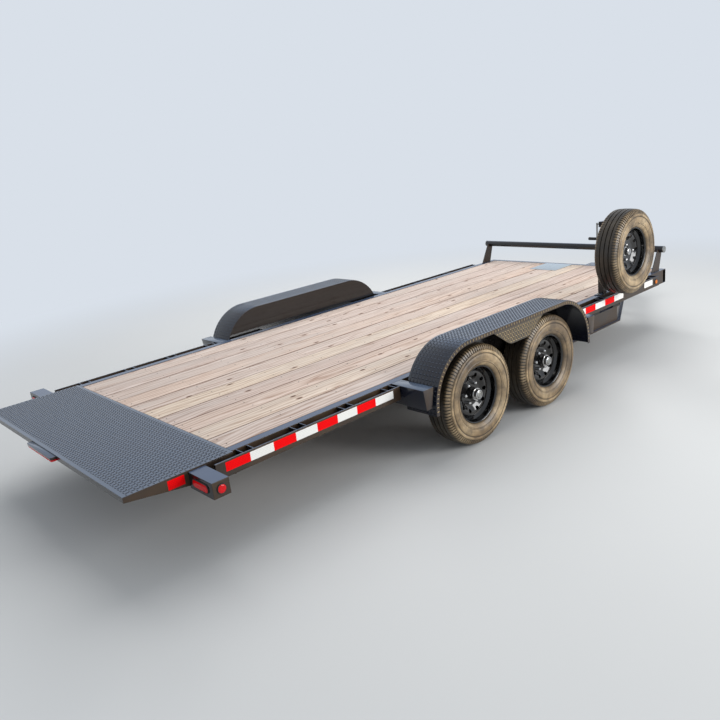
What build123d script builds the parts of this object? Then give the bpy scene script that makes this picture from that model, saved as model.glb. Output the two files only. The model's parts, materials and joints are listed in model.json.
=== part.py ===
import os
from math import atan2, cos, degrees, hypot, radians, sin

from build123d import *

os.makedirs("parts", exist_ok=True)

# Tilt equipment trailer in millimetres: X forward, Y to the left, Z up from the ground.
# Lengths along the trailer are stations, counted from the rear edge of the tail.
bed_length = 5530.0
coupler_reach = 1270.0
coupler_station = bed_length + coupler_reach
coupler_head_radius = 45.0
light_bar_depth = 32.0
overall_length = light_bar_depth + coupler_station + coupler_head_radius
tail_x = light_bar_depth - overall_length / 2.0

# Bed
deck_top = 558.0
plank_count = 10
plank_thickness = 38.0
plank_gap = 3.0
wood_half = 950.0
rail_depth = 127.0
rail_flange = 57.0
rail_thickness = 6.0
rail_face = wood_half + 3.0 + rail_flange
rail_bottom = deck_top - rail_depth
plank_bottom = deck_top - plank_thickness
front_channel_width = 50.0
cross_depth = 76.0
cross_width = 38.0
cross_wall = 5.0
cross_count = 12
end_gap = 3.0

# Tail ramp
tail_length = 620.0
tail_half = 1025.0
tread_plate = 6.0
tail_side_plate = 8.0
tail_lip_depth = 24.0
tail_rib_count = 5

# Cross members stand at an even pitch between the tail and the front channel.
cross_first = tail_length + cross_width
cross_last = bed_length - front_channel_width - cross_width
cross_pitch = (cross_last - cross_first) / (cross_count - 1)

# Rub rails and stake pockets
rub_face = 1087.0
rub_thickness = 10.0
rub_depth = 90.0
rub_drop = 2.0
rub_start = 470.0
rub_front_end = bed_length - 290.0
pocket_plate = 8.0
pocket_width = 60.0

# Lamps
light_box_start = 349.0
light_box_length = 99.0
light_box_reach = 223.0
light_box_outer = tail_half + light_box_reach
light_box_depth = 88.0
light_box_drop = 9.0
light_box_wall = 4.0
oval_lamp_width = 150.0
oval_lamp_height = 50.0
lamp_proud = 10.0
side_lamp_radius = 27.0
light_bar_width = 380.0
light_bar_height = 26.0
marker_radius = 24.0
marker_station = rub_front_end - 64.0

# Wheels, six studs on a 15 inch rim
axle_mid = 2790.0
axle_spacing = 813.0
tyre_radius = 344.0
tyre_half_width = 105.0
wheel_track_half = 1157.0
rim_flange_radius = 201.0
rim_half_width = 80.0
bead_radius = 190.0
drum_radius = 140.0
drum_depth = 88.0
hub_radius = 42.0
hub_length = 62.0
cap_radius = 33.0
cap_depth = 22.0
spindle_radius = 22.0
running_clearance = 0.05
hand_hole_count = 10
hand_hole_radius = 14.5
hand_hole_circle = 124.0
axle_tube_radius = 38.0
stations = {"rear": axle_mid - axle_spacing / 2.0, "front": axle_mid + axle_spacing / 2.0}

# Fenders
fender_end_gap = 137.0
fender_length = axle_spacing + 2.0 * (tyre_radius + fender_end_gap)
fender_top = 765.0
fender_end_radius = 360.0
fender_bottom = 362.0
fender_sheet = 3.0
fender_inner_y = 1040.0
fender_outer_y = 1295.0
fender_lip = 28.0
panel_bottom = 470.0
valance_top_width = 640.0
valance_bottom_width = 220.0
valance_bottom = fender_top - 146.0
valance_corner = 120.0
step_length = 92.0
step_plate = 6.0

# Suspension
spring_y = 983.0
spring_width = 45.0
spring_span = 660.0
eye_height = 385.0
leaf_thickness = 9.0
leaf_count = 4
hanger_plate = 6.0
equalizer_length = 150.0

# Spare wheel and front rail
spare_station = bed_length - 1110.0
spare_outer_face = fender_outer_y
spare_lift = 28.0
front_rail_station = bed_length - 75.0
front_rail_height = 757.0
front_rail_radius = 30.0
front_rail_half = 1030.0
upright_y = 985.0
upright_thickness = 8.0
upright_base_rear = front_rail_station - 160.0
upright_base_front = front_rail_station - 18.0
upright_top_width = 90.0
cover_start = bed_length - 365.0
cover_length = 308.0
cover_right = -42.0
cover_width = 305.0
cover_thickness = 5.0

# Tow frame
tow_rail_y = 960.0
tow_rail_width = 60.0
tow_flange = 10.0
tow_web = 8.0
tow_bottom = 248.0
tow_top = 400.0
tow_rear_overhang = 55.0
tow_bend = bed_length - 830.0
tow_nose = bed_length + 1050.0
tow_nose_y = 62.0
rest_gap = 5.0
pivot_station = axle_mid + 1010.0
tow_rear = pivot_station - tow_rear_overhang
pivot_height = 305.0
pivot_pin_radius = 20.0
pivot_boss_radius = 36.0
pivot_plate = 10.0
jack_station = bed_length + 720.0
jack_plate_length = 140.0
jack_plate = 10.0
jack_tube_radius = 38.0
jack_leg_radius = 31.0
jack_clearance = 0.3
jack_tube_bottom = 320.0
jack_tube_top = 890.0
jack_leg_top = 560.0
foot_size = 150.0
foot_thickness = 8.0
ball_radius = 29.8
coupler_plate = 12.0
coupler_plate_length = 240.0
coupler_plate_width = 170.0
coupler_neck_width = 76.0
coupler_head_height = 70.0
socket_depth = 50.0

# Cushion cylinder between the tow frame and the bed
rod_cross = 8
rod_station = cross_first + rod_cross * cross_pitch
barrel_station = rod_station + 488.0
barrel_height = 298.0
rod_height = 402.0
barrel_radius = 30.0
barrel_length = 330.0
rod_radius = 14.0
eye_radius = 26.0
cylinder_pin_radius = 12.0
rod_eye_room = 8.0


def st(station):
    return tail_x + station


def upright_plane(y):
    return Plane.XZ.offset(-y)


def wheel_plane(station, y, height):
    return Plane(origin=(st(station), y, height), x_dir=(0, 1, 0), z_dir=(1, 0, 0))


def offset_path(points, distance):
    # Parallel copy of an open plan path, mitred at its bends.
    moved = []
    for i, (x, y) in enumerate(points):
        normals = []
        for a, b in (points[max(i - 1, 0):i + 1], points[i:i + 2]) if 0 < i < len(points) - 1 else (
                (points[:2],) if i == 0 else (points[-2:],)):
            length = hypot(b[0] - a[0], b[1] - a[1])
            normals.append((-(b[1] - a[1]) / length, (b[0] - a[0]) / length))
        nx = sum(n[0] for n in normals) / len(normals)
        ny = sum(n[1] for n in normals) / len(normals)
        scale = distance / (nx * nx + ny * ny)
        moved.append((x + nx * scale, y + ny * scale))
    return moved


def arch_points(inset):
    # Corner points of the fender outline, drawn in by the inset.
    rear = st(axle_mid - fender_length / 2.0) + inset
    front = st(axle_mid + fender_length / 2.0) - inset
    return rear, front, fender_top - inset, fender_end_radius - inset


# Side rails: channels with their flanges turned in beside the deck.
with BuildPart() as side_rails:
    with BuildSketch(Plane.YZ.offset(st(tail_length))):
        with Locations((rail_face, deck_top)):
            Rectangle(rail_flange, rail_depth, align=(Align.MAX, Align.MAX))
        with Locations((rail_face - rail_thickness, deck_top - rail_thickness)):
            Rectangle(rail_flange, rail_depth - 2 * rail_thickness,
                      align=(Align.MAX, Align.MAX), mode=Mode.SUBTRACT)
    extrude(amount=bed_length - front_channel_width - tail_length)
    mirror(about=Plane.XZ)
side_rails.part.label = "side_rails"
export_step(side_rails.part, "parts/side_rails.step")

# Front channel across the bed, flanges turned back.
with BuildPart() as front_channel:
    with BuildSketch(upright_plane(rail_face)):
        with Locations((st(bed_length), deck_top)):
            Rectangle(front_channel_width, rail_depth, align=(Align.MAX, Align.MAX))
        with Locations((st(bed_length) - rail_thickness, deck_top - rail_thickness)):
            Rectangle(front_channel_width, rail_depth - 2 * rail_thickness,
                      align=(Align.MAX, Align.MAX), mode=Mode.SUBTRACT)
    extrude(amount=2 * rail_face)
front_channel.part.label = "front_channel"
export_step(front_channel.part, "parts/front_channel.step")

# Cross members under the deck, between the webs of the side rails.
cross_half = rail_face - rail_thickness
with BuildPart() as cross_members:
    for i in range(cross_count):
        with BuildSketch(upright_plane(cross_half)):
            with Locations((st(cross_first + i * cross_pitch), plank_bottom)):
                Rectangle(cross_width, cross_depth, align=(Align.CENTER, Align.MAX))
            with Locations((st(cross_first + i * cross_pitch) - cross_wall, plank_bottom - cross_wall)):
                Rectangle(cross_width, cross_depth - 2 * cross_wall,
                          align=(Align.CENTER, Align.MAX), mode=Mode.SUBTRACT)
        extrude(amount=2 * cross_half)
cross_members.part.label = "cross_members"
export_step(cross_members.part, "parts/cross_members.step")

# Deck planks laid lengthwise.
plank_pitch = 2 * wood_half / plank_count
plank_length = bed_length - front_channel_width - tail_length - 2 * end_gap
with BuildPart() as deck_planks:
    with BuildSketch(Plane.XY.offset(plank_bottom)):
        for i in range(plank_count):
            with Locations((st(tail_length + end_gap), -wood_half + (i + 0.5) * plank_pitch)):
                Rectangle(plank_length, plank_pitch - plank_gap, align=(Align.MIN, Align.CENTER))
    extrude(amount=plank_thickness)
deck_planks.part.label = "deck_planks"
export_step(deck_planks.part, "parts/deck_planks.step")

# Tread plate of the tail.
with BuildPart() as tail_plate:
    with BuildSketch(Plane.XY.offset(deck_top - tread_plate)):
        with Locations((st(0), 0)):
            Rectangle(tail_length, 2 * tail_half, align=(Align.MIN, Align.CENTER))
    extrude(amount=tread_plate)
tail_plate.part.label = "tail_plate"
export_step(tail_plate.part, "parts/tail_plate.step")

# Tail frame: wedge plates at the sides, ribs between, a lip at the rear and a beam at the front.
tail_under = deck_top - tread_plate
with BuildPart() as tail_frame:
    rib_spread = tail_half - tail_side_plate / 2.0
    for i in range(tail_rib_count):
        rib_y = -rib_spread + 2 * rib_spread * i / (tail_rib_count - 1)
        with BuildSketch(upright_plane(rib_y + tail_side_plate / 2.0)):
            with BuildLine():
                Polyline((st(0), tail_under), (st(tail_length), tail_under), (st(tail_length), rail_bottom),
                         (st(0), tail_under - tail_lip_depth), close=True)
            make_face()
        extrude(amount=tail_side_plate)
    with BuildSketch(upright_plane(tail_half)):
        with Locations((st(0), tail_under)):
            Rectangle(tail_side_plate, tail_lip_depth, align=(Align.MIN, Align.MAX))
        with Locations((st(tail_length), tail_under)):
            Rectangle(tail_side_plate, tail_under - rail_bottom, align=(Align.MAX, Align.MAX))
    extrude(amount=2 * tail_half)
tail_frame.part.label = "tail_frame"
export_step(tail_frame.part, "parts/tail_frame.step")

# Rub rails, broken at the fenders.
rub_top = deck_top - rub_drop
fender_rear = axle_mid - fender_length / 2.0
fender_front = axle_mid + fender_length / 2.0
rub_spans = [(rub_start, fender_rear - step_length), (fender_front + step_length, rub_front_end)]
with BuildPart() as rub_rails:
    with BuildSketch(Plane.XY.offset(rub_top)):
        for begin, end in rub_spans:
            with Locations((st(begin), rub_face)):
                Rectangle(end - begin, rub_thickness, align=(Align.MIN, Align.MAX))
    extrude(amount=-rub_depth)
    mirror(about=Plane.XZ)
rub_rails.part.label = "rub_rails"
export_step(rub_rails.part, "parts/rub_rails.step")

# Stake pockets: plate pairs that join the rub rails to the side rails.
pocket_counts = [4, 4]
rub_inner = rub_face - rub_thickness
with BuildPart() as stake_pockets:
    with BuildSketch(Plane.XY.offset(rub_top)):
        for (begin, end), count in zip(rub_spans, pocket_counts):
            first = max(begin, tail_length) + pocket_width
            last = end - pocket_width
            for i in range(count):
                middle = first + (last - first) * i / (count - 1)
                for side in (-1, 1):
                    with Locations((st(middle) + side * (pocket_width + pocket_plate) / 2.0, rail_face)):
                        Rectangle(pocket_plate, rub_inner - rail_face, align=(Align.CENTER, Align.MIN))
    extrude(amount=-rub_depth)
    mirror(about=Plane.XZ)
stake_pockets.part.label = "stake_pockets"
export_step(stake_pockets.part, "parts/stake_pockets.step")

# Light boxes: bent boxes on the sides of the tail, open towards it.
box_top = deck_top - light_box_drop
box_mid_z = box_top - light_box_depth / 2.0
with BuildPart() as light_boxes:
    with BuildSketch(upright_plane(light_box_outer)):
        with Locations((st(light_box_start), box_top)):
            Rectangle(light_box_length, light_box_depth, align=(Align.MIN, Align.MAX))
    extrude(amount=light_box_outer - tail_half)
    with BuildSketch(upright_plane(light_box_outer - light_box_wall)):
        with Locations((st(light_box_start + light_box_wall), box_top - light_box_wall)):
            Rectangle(light_box_length - 2 * light_box_wall, light_box_depth - 2 * light_box_wall,
                      align=(Align.MIN, Align.MAX))
    extrude(amount=light_box_outer - light_box_wall - tail_half, mode=Mode.SUBTRACT)
    mirror(about=Plane.XZ)
light_boxes.part.label = "light_boxes"
export_step(light_boxes.part, "parts/light_boxes.step")

# Red lamps: an oval one to the rear and a round one on the end of each box.
lamp_y = (tail_half + light_box_outer) / 2.0
with BuildPart() as tail_lamps:
    with BuildSketch(Plane.YZ.offset(st(light_box_start))):
        with Locations((lamp_y, box_mid_z)):
            SlotOverall(oval_lamp_width, oval_lamp_height)
    extrude(amount=-lamp_proud)
    with BuildSketch(upright_plane(light_box_outer)):
        with Locations((st(light_box_start + light_box_length / 2.0), box_mid_z)):
            Circle(side_lamp_radius)
    extrude(amount=-lamp_proud)
    mirror(about=Plane.XZ)
tail_lamps.part.label = "tail_lamps"
export_step(tail_lamps.part, "parts/tail_lamps.step")

# Light bar behind the middle of the tail.
with BuildPart() as id_light_bar:
    with BuildSketch(Plane.XY.offset(tail_under - light_bar_height)):
        with Locations((st(0), 0)):
            Rectangle(light_bar_depth, light_bar_width, align=(Align.MAX, Align.CENTER))
    extrude(amount=light_bar_height)
    fillet(id_light_bar.edges().filter_by(Axis.Z).group_by(Axis.X)[0], light_bar_depth * 0.45)
id_light_bar.part.label = "id_light_bar"
export_step(id_light_bar.part, "parts/id_light_bar.step")

# Amber markers on the front ends of the rub rails.
with BuildPart() as marker_lamps:
    with BuildSketch(upright_plane(rub_face)):
        with Locations((st(marker_station), rub_top - rub_depth / 2.0)):
            Circle(marker_radius)
    extrude(amount=-lamp_proud)
    mirror(about=Plane.XZ)
marker_lamps.part.label = "marker_lamps"
export_step(marker_lamps.part, "parts/marker_lamps.step")

# Fender tops: a bent sheet with rounded ends and a turned-down outer lip.
arch_layers = [  # outer inset, inner inset, outer face, width
    (0.0, fender_sheet, fender_outer_y, fender_outer_y - fender_inner_y),
    (0.0, fender_lip, fender_outer_y, fender_sheet),
]
for side, sign in (("left", 1), ("right", -1)):
    with BuildPart() as fender:
        for outer_inset, inner_inset, face_y, width in arch_layers:
            edge_y = face_y if sign > 0 else width - face_y
            with BuildSketch(upright_plane(edge_y)):
                for inset, mode in ((outer_inset, Mode.ADD), (inner_inset, Mode.SUBTRACT)):
                    rear, front, top, radius = arch_points(inset)
                    with BuildLine():
                        Polyline((front, top - radius), (front, fender_bottom),
                                 (rear, fender_bottom), (rear, top - radius))
                        RadiusArc((rear, top - radius), (rear + radius, top), radius)
                        Line((rear + radius, top), (front - radius, top))
                        RadiusArc((front - radius, top), (front, top - radius), radius)
                    make_face(mode=mode)
            extrude(amount=width)
    fender.part.label = f"fender_{side}"
    export_step(fender.part, f"parts/fender_{side}.step")

# Inner panels that close the arches towards the deck.
with BuildPart() as fender_panels:
    with BuildSketch(upright_plane(fender_inner_y + fender_sheet)):
        rear, front, top, radius = arch_points(fender_sheet)
        with BuildLine():
            Polyline((front, top - radius), (front, fender_bottom),
                     (rear, fender_bottom), (rear, top - radius))
            RadiusArc((rear, top - radius), (rear + radius, top), radius)
            Line((rear + radius, top), (front - radius, top))
            RadiusArc((front - radius, top), (front, top - radius), radius)
        make_face()
        with Locations((st(axle_mid), panel_bottom)):
            Rectangle(fender_length, fender_top, align=(Align.CENTER, Align.MAX), mode=Mode.SUBTRACT)
    extrude(amount=fender_sheet)
    with BuildSketch(Plane.XY.offset(deck_top)):
        with Locations((st(axle_mid), rail_face)):
            Rectangle(fender_length - 2 * fender_end_radius, fender_inner_y - rail_face,
                      align=(Align.CENTER, Align.MIN))
    extrude(amount=-step_plate)
    mirror(about=Plane.XZ)
fender_panels.part.label = "fender_panels"
export_step(fender_panels.part, "parts/fender_panels.step")

# Tread-plate valances between the wheels, behind the lips of the fenders.
valance_face = fender_outer_y - fender_sheet
with BuildPart() as fender_valances:
    with BuildSketch(upright_plane(valance_face)) as valance_shape:
        with BuildLine():
            Polyline((st(axle_mid - valance_top_width / 2.0), fender_top - fender_sheet),
                     (st(axle_mid + valance_top_width / 2.0), fender_top - fender_sheet),
                     (st(axle_mid + valance_bottom_width / 2.0), valance_bottom),
                     (st(axle_mid - valance_bottom_width / 2.0), valance_bottom), close=True)
        make_face()
        fillet(valance_shape.vertices().group_by(Axis.Y)[0], valance_corner)
    extrude(amount=fender_sheet)
    mirror(about=Plane.XZ)
fender_valances.part.label = "fender_valances"
export_step(fender_valances.part, "parts/fender_valances.step")

# Steps ahead of and behind each fender: a flat top with a tapered side plate.
step_outer = fender_outer_y - 12.0
with BuildPart() as fender_steps:
    for begin, wide, thin in ((fender_rear - step_length, fender_rear, fender_rear - step_length),
                              (fender_front, fender_front, fender_front + step_length)):
        with BuildSketch(Plane.XY.offset(deck_top)):
            with Locations((st(begin), rail_face)):
                Rectangle(step_length, step_outer - rail_face, align=(Align.MIN, Align.MIN))
        extrude(amount=-step_plate)
        with BuildSketch(upright_plane(step_outer)):
            with BuildLine():
                Polyline((st(thin), deck_top - step_plate), (st(wide), deck_top - step_plate), (st(wide), rail_bottom),
                         (st(thin), deck_top - rub_depth / 2.0), close=True)
            make_face()
        extrude(amount=step_plate)
    mirror(about=Plane.XZ)
fender_steps.part.label = "fender_steps"
export_step(fender_steps.part, "parts/fender_steps.step")

# Axles: a straight tube with a spindle at each end.
drum_inner_y = wheel_track_half - drum_depth
tube_end_y = drum_inner_y - 12.0
spindle_end_y = wheel_track_half + hub_length / 2.0
with BuildPart() as axles:
    for station in stations.values():
        with BuildSketch(upright_plane(tube_end_y)):
            with Locations((st(station), tyre_radius)):
                Circle(axle_tube_radius)
        extrude(amount=2 * tube_end_y)
        with BuildSketch(upright_plane(spindle_end_y)):
            with Locations((st(station), tyre_radius)):
                Circle(spindle_radius)
        extrude(amount=2 * spindle_end_y)
axles.part.label = "axles"
export_step(axles.part, "parts/axles.step")

# Leaf springs under the axles, each a pack of bent leaves with an eye at both ends.
spring_low = tyre_radius - axle_tube_radius
sag = eye_height - spring_low
spring_radius = (spring_span ** 2 / 4.0 + sag ** 2) / (2.0 * sag)
spring_centre = spring_low + spring_radius
spring_half_angle = atan2(spring_span / 2.0, spring_radius - sag)
spring_eye_radius = 20.0
with BuildPart() as leaf_springs:
    for station in stations.values():
        with BuildSketch(upright_plane(spring_y + spring_width / 2.0)):
            for i in range(leaf_count):
                angle = spring_half_angle * (1.0 - 0.2 * i)
                inner = spring_radius + i * leaf_thickness
                outer = inner + leaf_thickness
                ends = [(st(station) + sgn * r * sin(angle), spring_centre - r * cos(angle))
                        for r, sgn in ((inner, -1), (inner, 1), (outer, 1), (outer, -1))]
                with BuildLine():
                    ThreePointArc(ends[0], (st(station), spring_centre - inner), ends[1])
                    Line(ends[1], ends[2])
                    ThreePointArc(ends[2], (st(station), spring_centre - outer), ends[3])
                    Line(ends[3], ends[0])
                make_face()
            with Locations(*[(st(station) + sgn * spring_span / 2.0, eye_height) for sgn in (-1, 1)]):
                Circle(spring_eye_radius)
        extrude(amount=spring_width)
    mirror(about=Plane.XZ)
leaf_springs.part.label = "leaf_springs"
export_step(leaf_springs.part, "parts/leaf_springs.step")

# Hangers: plate pairs below the side rails, at the ends and in the middle of the spring rows.
hanger_stations = [stations["rear"] - spring_span / 2.0, axle_mid, stations["front"] + spring_span / 2.0]
hanger_gap = spring_width / 2.0 + 0.5
with BuildPart() as spring_hangers:
    for station in hanger_stations:
        for edge in (spring_y + hanger_gap + hanger_plate, spring_y - hanger_gap):
            with BuildSketch(upright_plane(edge)):
                with BuildLine():
                    Polyline((st(station) - 55, rail_bottom), (st(station) + 55, rail_bottom),
                             (st(station) + 24, eye_height - 24), (st(station) - 24, eye_height - 24), close=True)
                make_face()
            extrude(amount=hanger_plate)
    mirror(about=Plane.XZ)
spring_hangers.part.label = "spring_hangers"
export_step(spring_hangers.part, "parts/spring_hangers.step")

# Equalizers: rocking plates in the middle hangers that carry the inner spring eyes.
inner_eye = axle_spacing / 2.0 - spring_span / 2.0
with BuildPart() as equalizers:
    with BuildSketch(upright_plane(spring_y + hanger_gap - 0.5)):
        with BuildLine():
            Polyline((st(axle_mid) - inner_eye + spring_eye_radius, eye_height - 16),
                     (st(axle_mid) - 18, eye_height + 40), (st(axle_mid) + 18, eye_height + 40),
                     (st(axle_mid) + inner_eye - spring_eye_radius, eye_height - 16), close=True)
        make_face()
    extrude(amount=spring_width)
    mirror(about=Plane.XZ)
equalizers.part.label = "equalizers"
export_step(equalizers.part, "parts/equalizers.step")

# Wheel sections, drawn across the tyre: offset from its middle, then radius.
crown_half = tyre_half_width - 22.0
bead_seat = rim_half_width - 8.0
flange_inner = rim_half_width - 6.0
rim_wall = 6.0
well_radius = bead_radius - 22.0
tyre_outline = [
    (-bead_seat + 12, bead_radius), (-bead_seat, bead_radius), (-flange_inner, rim_flange_radius + 3),
    (-tyre_half_width, (bead_radius + tyre_radius) / 2.0), (-crown_half, tyre_radius),
    (crown_half, tyre_radius), (tyre_half_width, (bead_radius + tyre_radius) / 2.0),
    (flange_inner, rim_flange_radius + 3), (bead_seat, bead_radius), (bead_seat - 12, bead_radius),
    (crown_half, tyre_radius - 24), (-crown_half, tyre_radius - 24)]
rim_outline = [
    (-rim_half_width, rim_flange_radius), (-flange_inner, rim_flange_radius), (-bead_seat, bead_radius),
    (-40, bead_radius), (-30, well_radius), (18, well_radius), (34, bead_radius), (bead_seat, bead_radius),
    (flange_inner, rim_flange_radius), (rim_half_width, rim_flange_radius), (rim_half_width, bead_radius + 4),
    (rim_half_width - 3, bead_radius - rim_wall), (38, bead_radius - rim_wall), (22, well_radius - rim_wall),
    (-34, well_radius - rim_wall), (-44, bead_radius - rim_wall), (3 - rim_half_width, bead_radius - rim_wall),
    (-rim_half_width, bead_radius + 4)]
disc_rim = well_radius - rim_wall / 2.0
disc_outline = [
    (0, hub_radius), (8, hub_radius), (8, 94), (30, 126), (30, disc_rim), (22, disc_rim), (22, 130), (0, 98)]


def side_turned(points, sign):
    return [(sign * offset, radius) for offset, radius in points]


# Four wheels: tyre, rim with hand holes, and hub with its brake drum.
corners = [("front_left", "front", 1), ("front_right", "front", -1),
           ("rear_left", "rear", 1), ("rear_right", "rear", -1)]
for corner, axle, sign in corners:
    plane = wheel_plane(stations[axle], sign * wheel_track_half, tyre_radius)
    spin = Axis(plane.origin, (0, 1, 0))
    with BuildPart() as tyre:
        with BuildSketch(plane):
            with BuildLine():
                Polyline(*tyre_outline, close=True)
            make_face()
        revolve(axis=spin)
    tyre.part.label = f"tyre_{corner}"
    export_step(tyre.part, f"parts/tyre_{corner}.step")
    with BuildPart() as rim:
        with BuildSketch(plane):
            for outline in (rim_outline, disc_outline):
                with BuildLine():
                    Polyline(*side_turned(outline, sign), close=True)
                make_face()
        revolve(axis=spin)
        with BuildSketch(upright_plane(sign * wheel_track_half + 60.0)):
            with Locations((plane.origin.X, plane.origin.Z)):
                with PolarLocations(hand_hole_circle, hand_hole_count):
                    Circle(hand_hole_radius)
        extrude(amount=120.0, mode=Mode.SUBTRACT)
    rim.part.label = f"rim_{corner}"
    export_step(rim.part, f"parts/rim_{corner}.step")
    hub_bore = spindle_radius + running_clearance
    bore_end = hub_length / 2.0 + 5.0
    hub_outline = [(-drum_depth, hub_bore), (-drum_depth, drum_radius), (0, drum_radius), (0, hub_radius),
                   (hub_length, hub_radius), (hub_length, cap_radius), (hub_length + cap_depth, cap_radius),
                   (hub_length + cap_depth, 0), (bore_end, 0), (bore_end, hub_bore)]
    with BuildPart() as hub:
        with BuildSketch(plane):
            with BuildLine():
                Polyline(*side_turned(hub_outline, sign), close=True)
            make_face()
        revolve(axis=spin)
    hub.part.label = f"hub_{corner}"
    export_step(hub.part, f"parts/hub_{corner}.step")

# Spare wheel upright outside the rub rail, on an arm from a post on the side rail.
spare_y = -(spare_outer_face - tyre_half_width)
spare_height = deck_top + spare_lift + tyre_radius
spare_plane = wheel_plane(spare_station, spare_y, spare_height)
spare_spin = Axis(spare_plane.origin, (0, 1, 0))
with BuildPart() as spare_tyre:
    with BuildSketch(spare_plane):
        with BuildLine():
            Polyline(*tyre_outline, close=True)
        make_face()
    revolve(axis=spare_spin)
spare_tyre.part.label = "spare_tyre"
export_step(spare_tyre.part, "parts/spare_tyre.step")

with BuildPart() as spare_rim:
    with BuildSketch(spare_plane):
        for outline in (rim_outline, disc_outline):
            with BuildLine():
                Polyline(*side_turned(outline, -1), close=True)
            make_face()
    revolve(axis=spare_spin)
    with BuildSketch(upright_plane(spare_y + 60.0)):
        with Locations((spare_plane.origin.X, spare_plane.origin.Z)):
            with PolarLocations(hand_hole_circle, hand_hole_count):
                Circle(hand_hole_radius)
    extrude(amount=120.0, mode=Mode.SUBTRACT)
spare_rim.part.label = "spare_rim"
export_step(spare_rim.part, "parts/spare_rim.step")

carrier_post = 50.0
carrier_base = 160.0
carrier_y = -(rail_face - (rail_flange - carrier_post) / 2.0) + carrier_post
with BuildPart() as spare_carrier:
    with BuildSketch(Plane.XY.offset(deck_top)):
        with Locations((st(spare_station), -rail_face)):
            Rectangle(carrier_base, rail_flange, align=(Align.CENTER, Align.MIN))
    extrude(amount=step_plate)
    with BuildSketch(Plane.XY.offset(deck_top)):
        with Locations((st(spare_station), carrier_y)):
            Rectangle(carrier_post, carrier_post, align=(Align.CENTER, Align.MAX))
    extrude(amount=spare_height - deck_top + carrier_post)
    with BuildSketch(upright_plane(carrier_y - carrier_post)):
        with Locations((st(spare_station), spare_height)):
            Circle(28)
    extrude(amount=carrier_y - carrier_post - spare_y - 10)
    with BuildSketch(upright_plane(spare_y + 10)):
        with Locations((st(spare_station), spare_height)):
            Circle(95)
    extrude(amount=10)
spare_carrier.part.label = "spare_carrier"
export_step(spare_carrier.part, "parts/spare_carrier.step")

# Front rail with capped ends on two gusset uprights.
with BuildPart() as front_rail:
    with BuildSketch(upright_plane(front_rail_half)):
        with Locations((st(front_rail_station), front_rail_height)):
            Circle(front_rail_radius)
    extrude(amount=2 * front_rail_half)
front_rail.part.label = "front_rail"
export_step(front_rail.part, "parts/front_rail.step")

upright_front = front_rail_station + upright_top_width / 2.0
with BuildPart() as front_uprights:
    with BuildSketch(upright_plane(upright_y + upright_thickness / 2.0)):
        with BuildLine():
            Polyline((st(upright_base_front), deck_top), (st(upright_front), front_rail_height),
                     (st(upright_front - upright_top_width), front_rail_height),
                     (st(upright_base_rear), deck_top), close=True)
        make_face()
        with Locations((st(front_rail_station), front_rail_height)):
            Circle(front_rail_radius, mode=Mode.SUBTRACT)
    extrude(amount=upright_thickness)
    mirror(about=Plane.XZ)
front_uprights.part.label = "front_uprights"
export_step(front_uprights.part, "parts/front_uprights.step")

# Bare steel cover plate let onto the front of the deck.
with BuildPart() as cover_plate:
    with BuildSketch(Plane.XY.offset(deck_top)):
        with Locations((st(cover_start), cover_right)):
            Rectangle(cover_length, cover_width, align=(Align.MIN, Align.MIN))
    extrude(amount=cover_thickness)
cover_plate.part.label = "cover_plate"
export_step(cover_plate.part, "parts/cover_plate.step")

# Tow frame rails: I-beams that run straight below the bed and then meet at the nose.
tow_path = [(st(tow_rear), tow_rail_y), (st(tow_bend), tow_rail_y), (st(tow_nose), tow_nose_y)]
tow_layers = [  # half width, bottom, height
    (tow_rail_width / 2.0, tow_bottom, tow_flange),
    (tow_rail_width / 2.0, tow_top - tow_flange, tow_flange),
    (tow_web / 2.0, tow_bottom, tow_top - tow_bottom),
]
with BuildPart() as tow_rails:
    for half, bottom, height in tow_layers:
        with BuildSketch(Plane.XY.offset(bottom)):
            with BuildLine():
                Polyline(*offset_path(tow_path, half), *reversed(offset_path(tow_path, -half)), close=True)
            make_face()
        extrude(amount=height)
    with BuildSketch(upright_plane(tow_rail_y + tow_rail_width / 2.0)):
        with Locations((st(pivot_station), pivot_height)):
            Circle(pivot_boss_radius)
    extrude(amount=tow_rail_width)
    with BuildSketch(upright_plane(tow_rail_y + tow_rail_width / 2.0)):
        with Locations((st(pivot_station), pivot_height)):
            Circle(pivot_pin_radius)
    extrude(amount=tow_rail_width, mode=Mode.SUBTRACT)
    mirror(about=Plane.XZ)
tow_rails.part.label = "tow_rails"
export_step(tow_rails.part, "parts/tow_rails.step")

# Cross members of the tow frame, between the webs.
tow_slope = (tow_nose_y - tow_rail_y) / (tow_nose - tow_bend)


def rail_y_at(station):
    return tow_rail_y + max(station - tow_bend, 0.0) * tow_slope


cross_box = 76.0
cross_low = tow_bottom + tow_flange
barrel_cross_gap = 75.0
barrel_cross = barrel_station + barrel_cross_gap
tow_cross_stations = [pivot_station + 200.0, barrel_cross, bed_length + 370.0]
with BuildPart() as tow_cross:
    for station in tow_cross_stations:
        half = rail_y_at(station + cross_box / 2.0) - tow_web
        with BuildSketch(Plane.XY.offset(cross_low)):
            with Locations((st(station), 0)):
                Rectangle(cross_box, 2 * half)
        extrude(amount=cross_box)
tow_cross.part.label = "tow_cross"
export_step(tow_cross.part, "parts/tow_cross.step")

# Rest pads on the tow rails below the front of the bed.
pad_stations = [pivot_station + 500.0, pivot_station + 840.0]
pad_length = 120.0
with BuildPart() as rest_pads:
    with BuildSketch(Plane.XY.offset(tow_top)):
        for station in pad_stations:
            with Locations((st(station), tow_rail_y)):
                Rectangle(pad_length, tow_rail_width)
    extrude(amount=rail_bottom - rest_gap - tow_top)
    mirror(about=Plane.XZ)
rest_pads.part.label = "rest_pads"
export_step(rest_pads.part, "parts/rest_pads.step")

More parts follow.
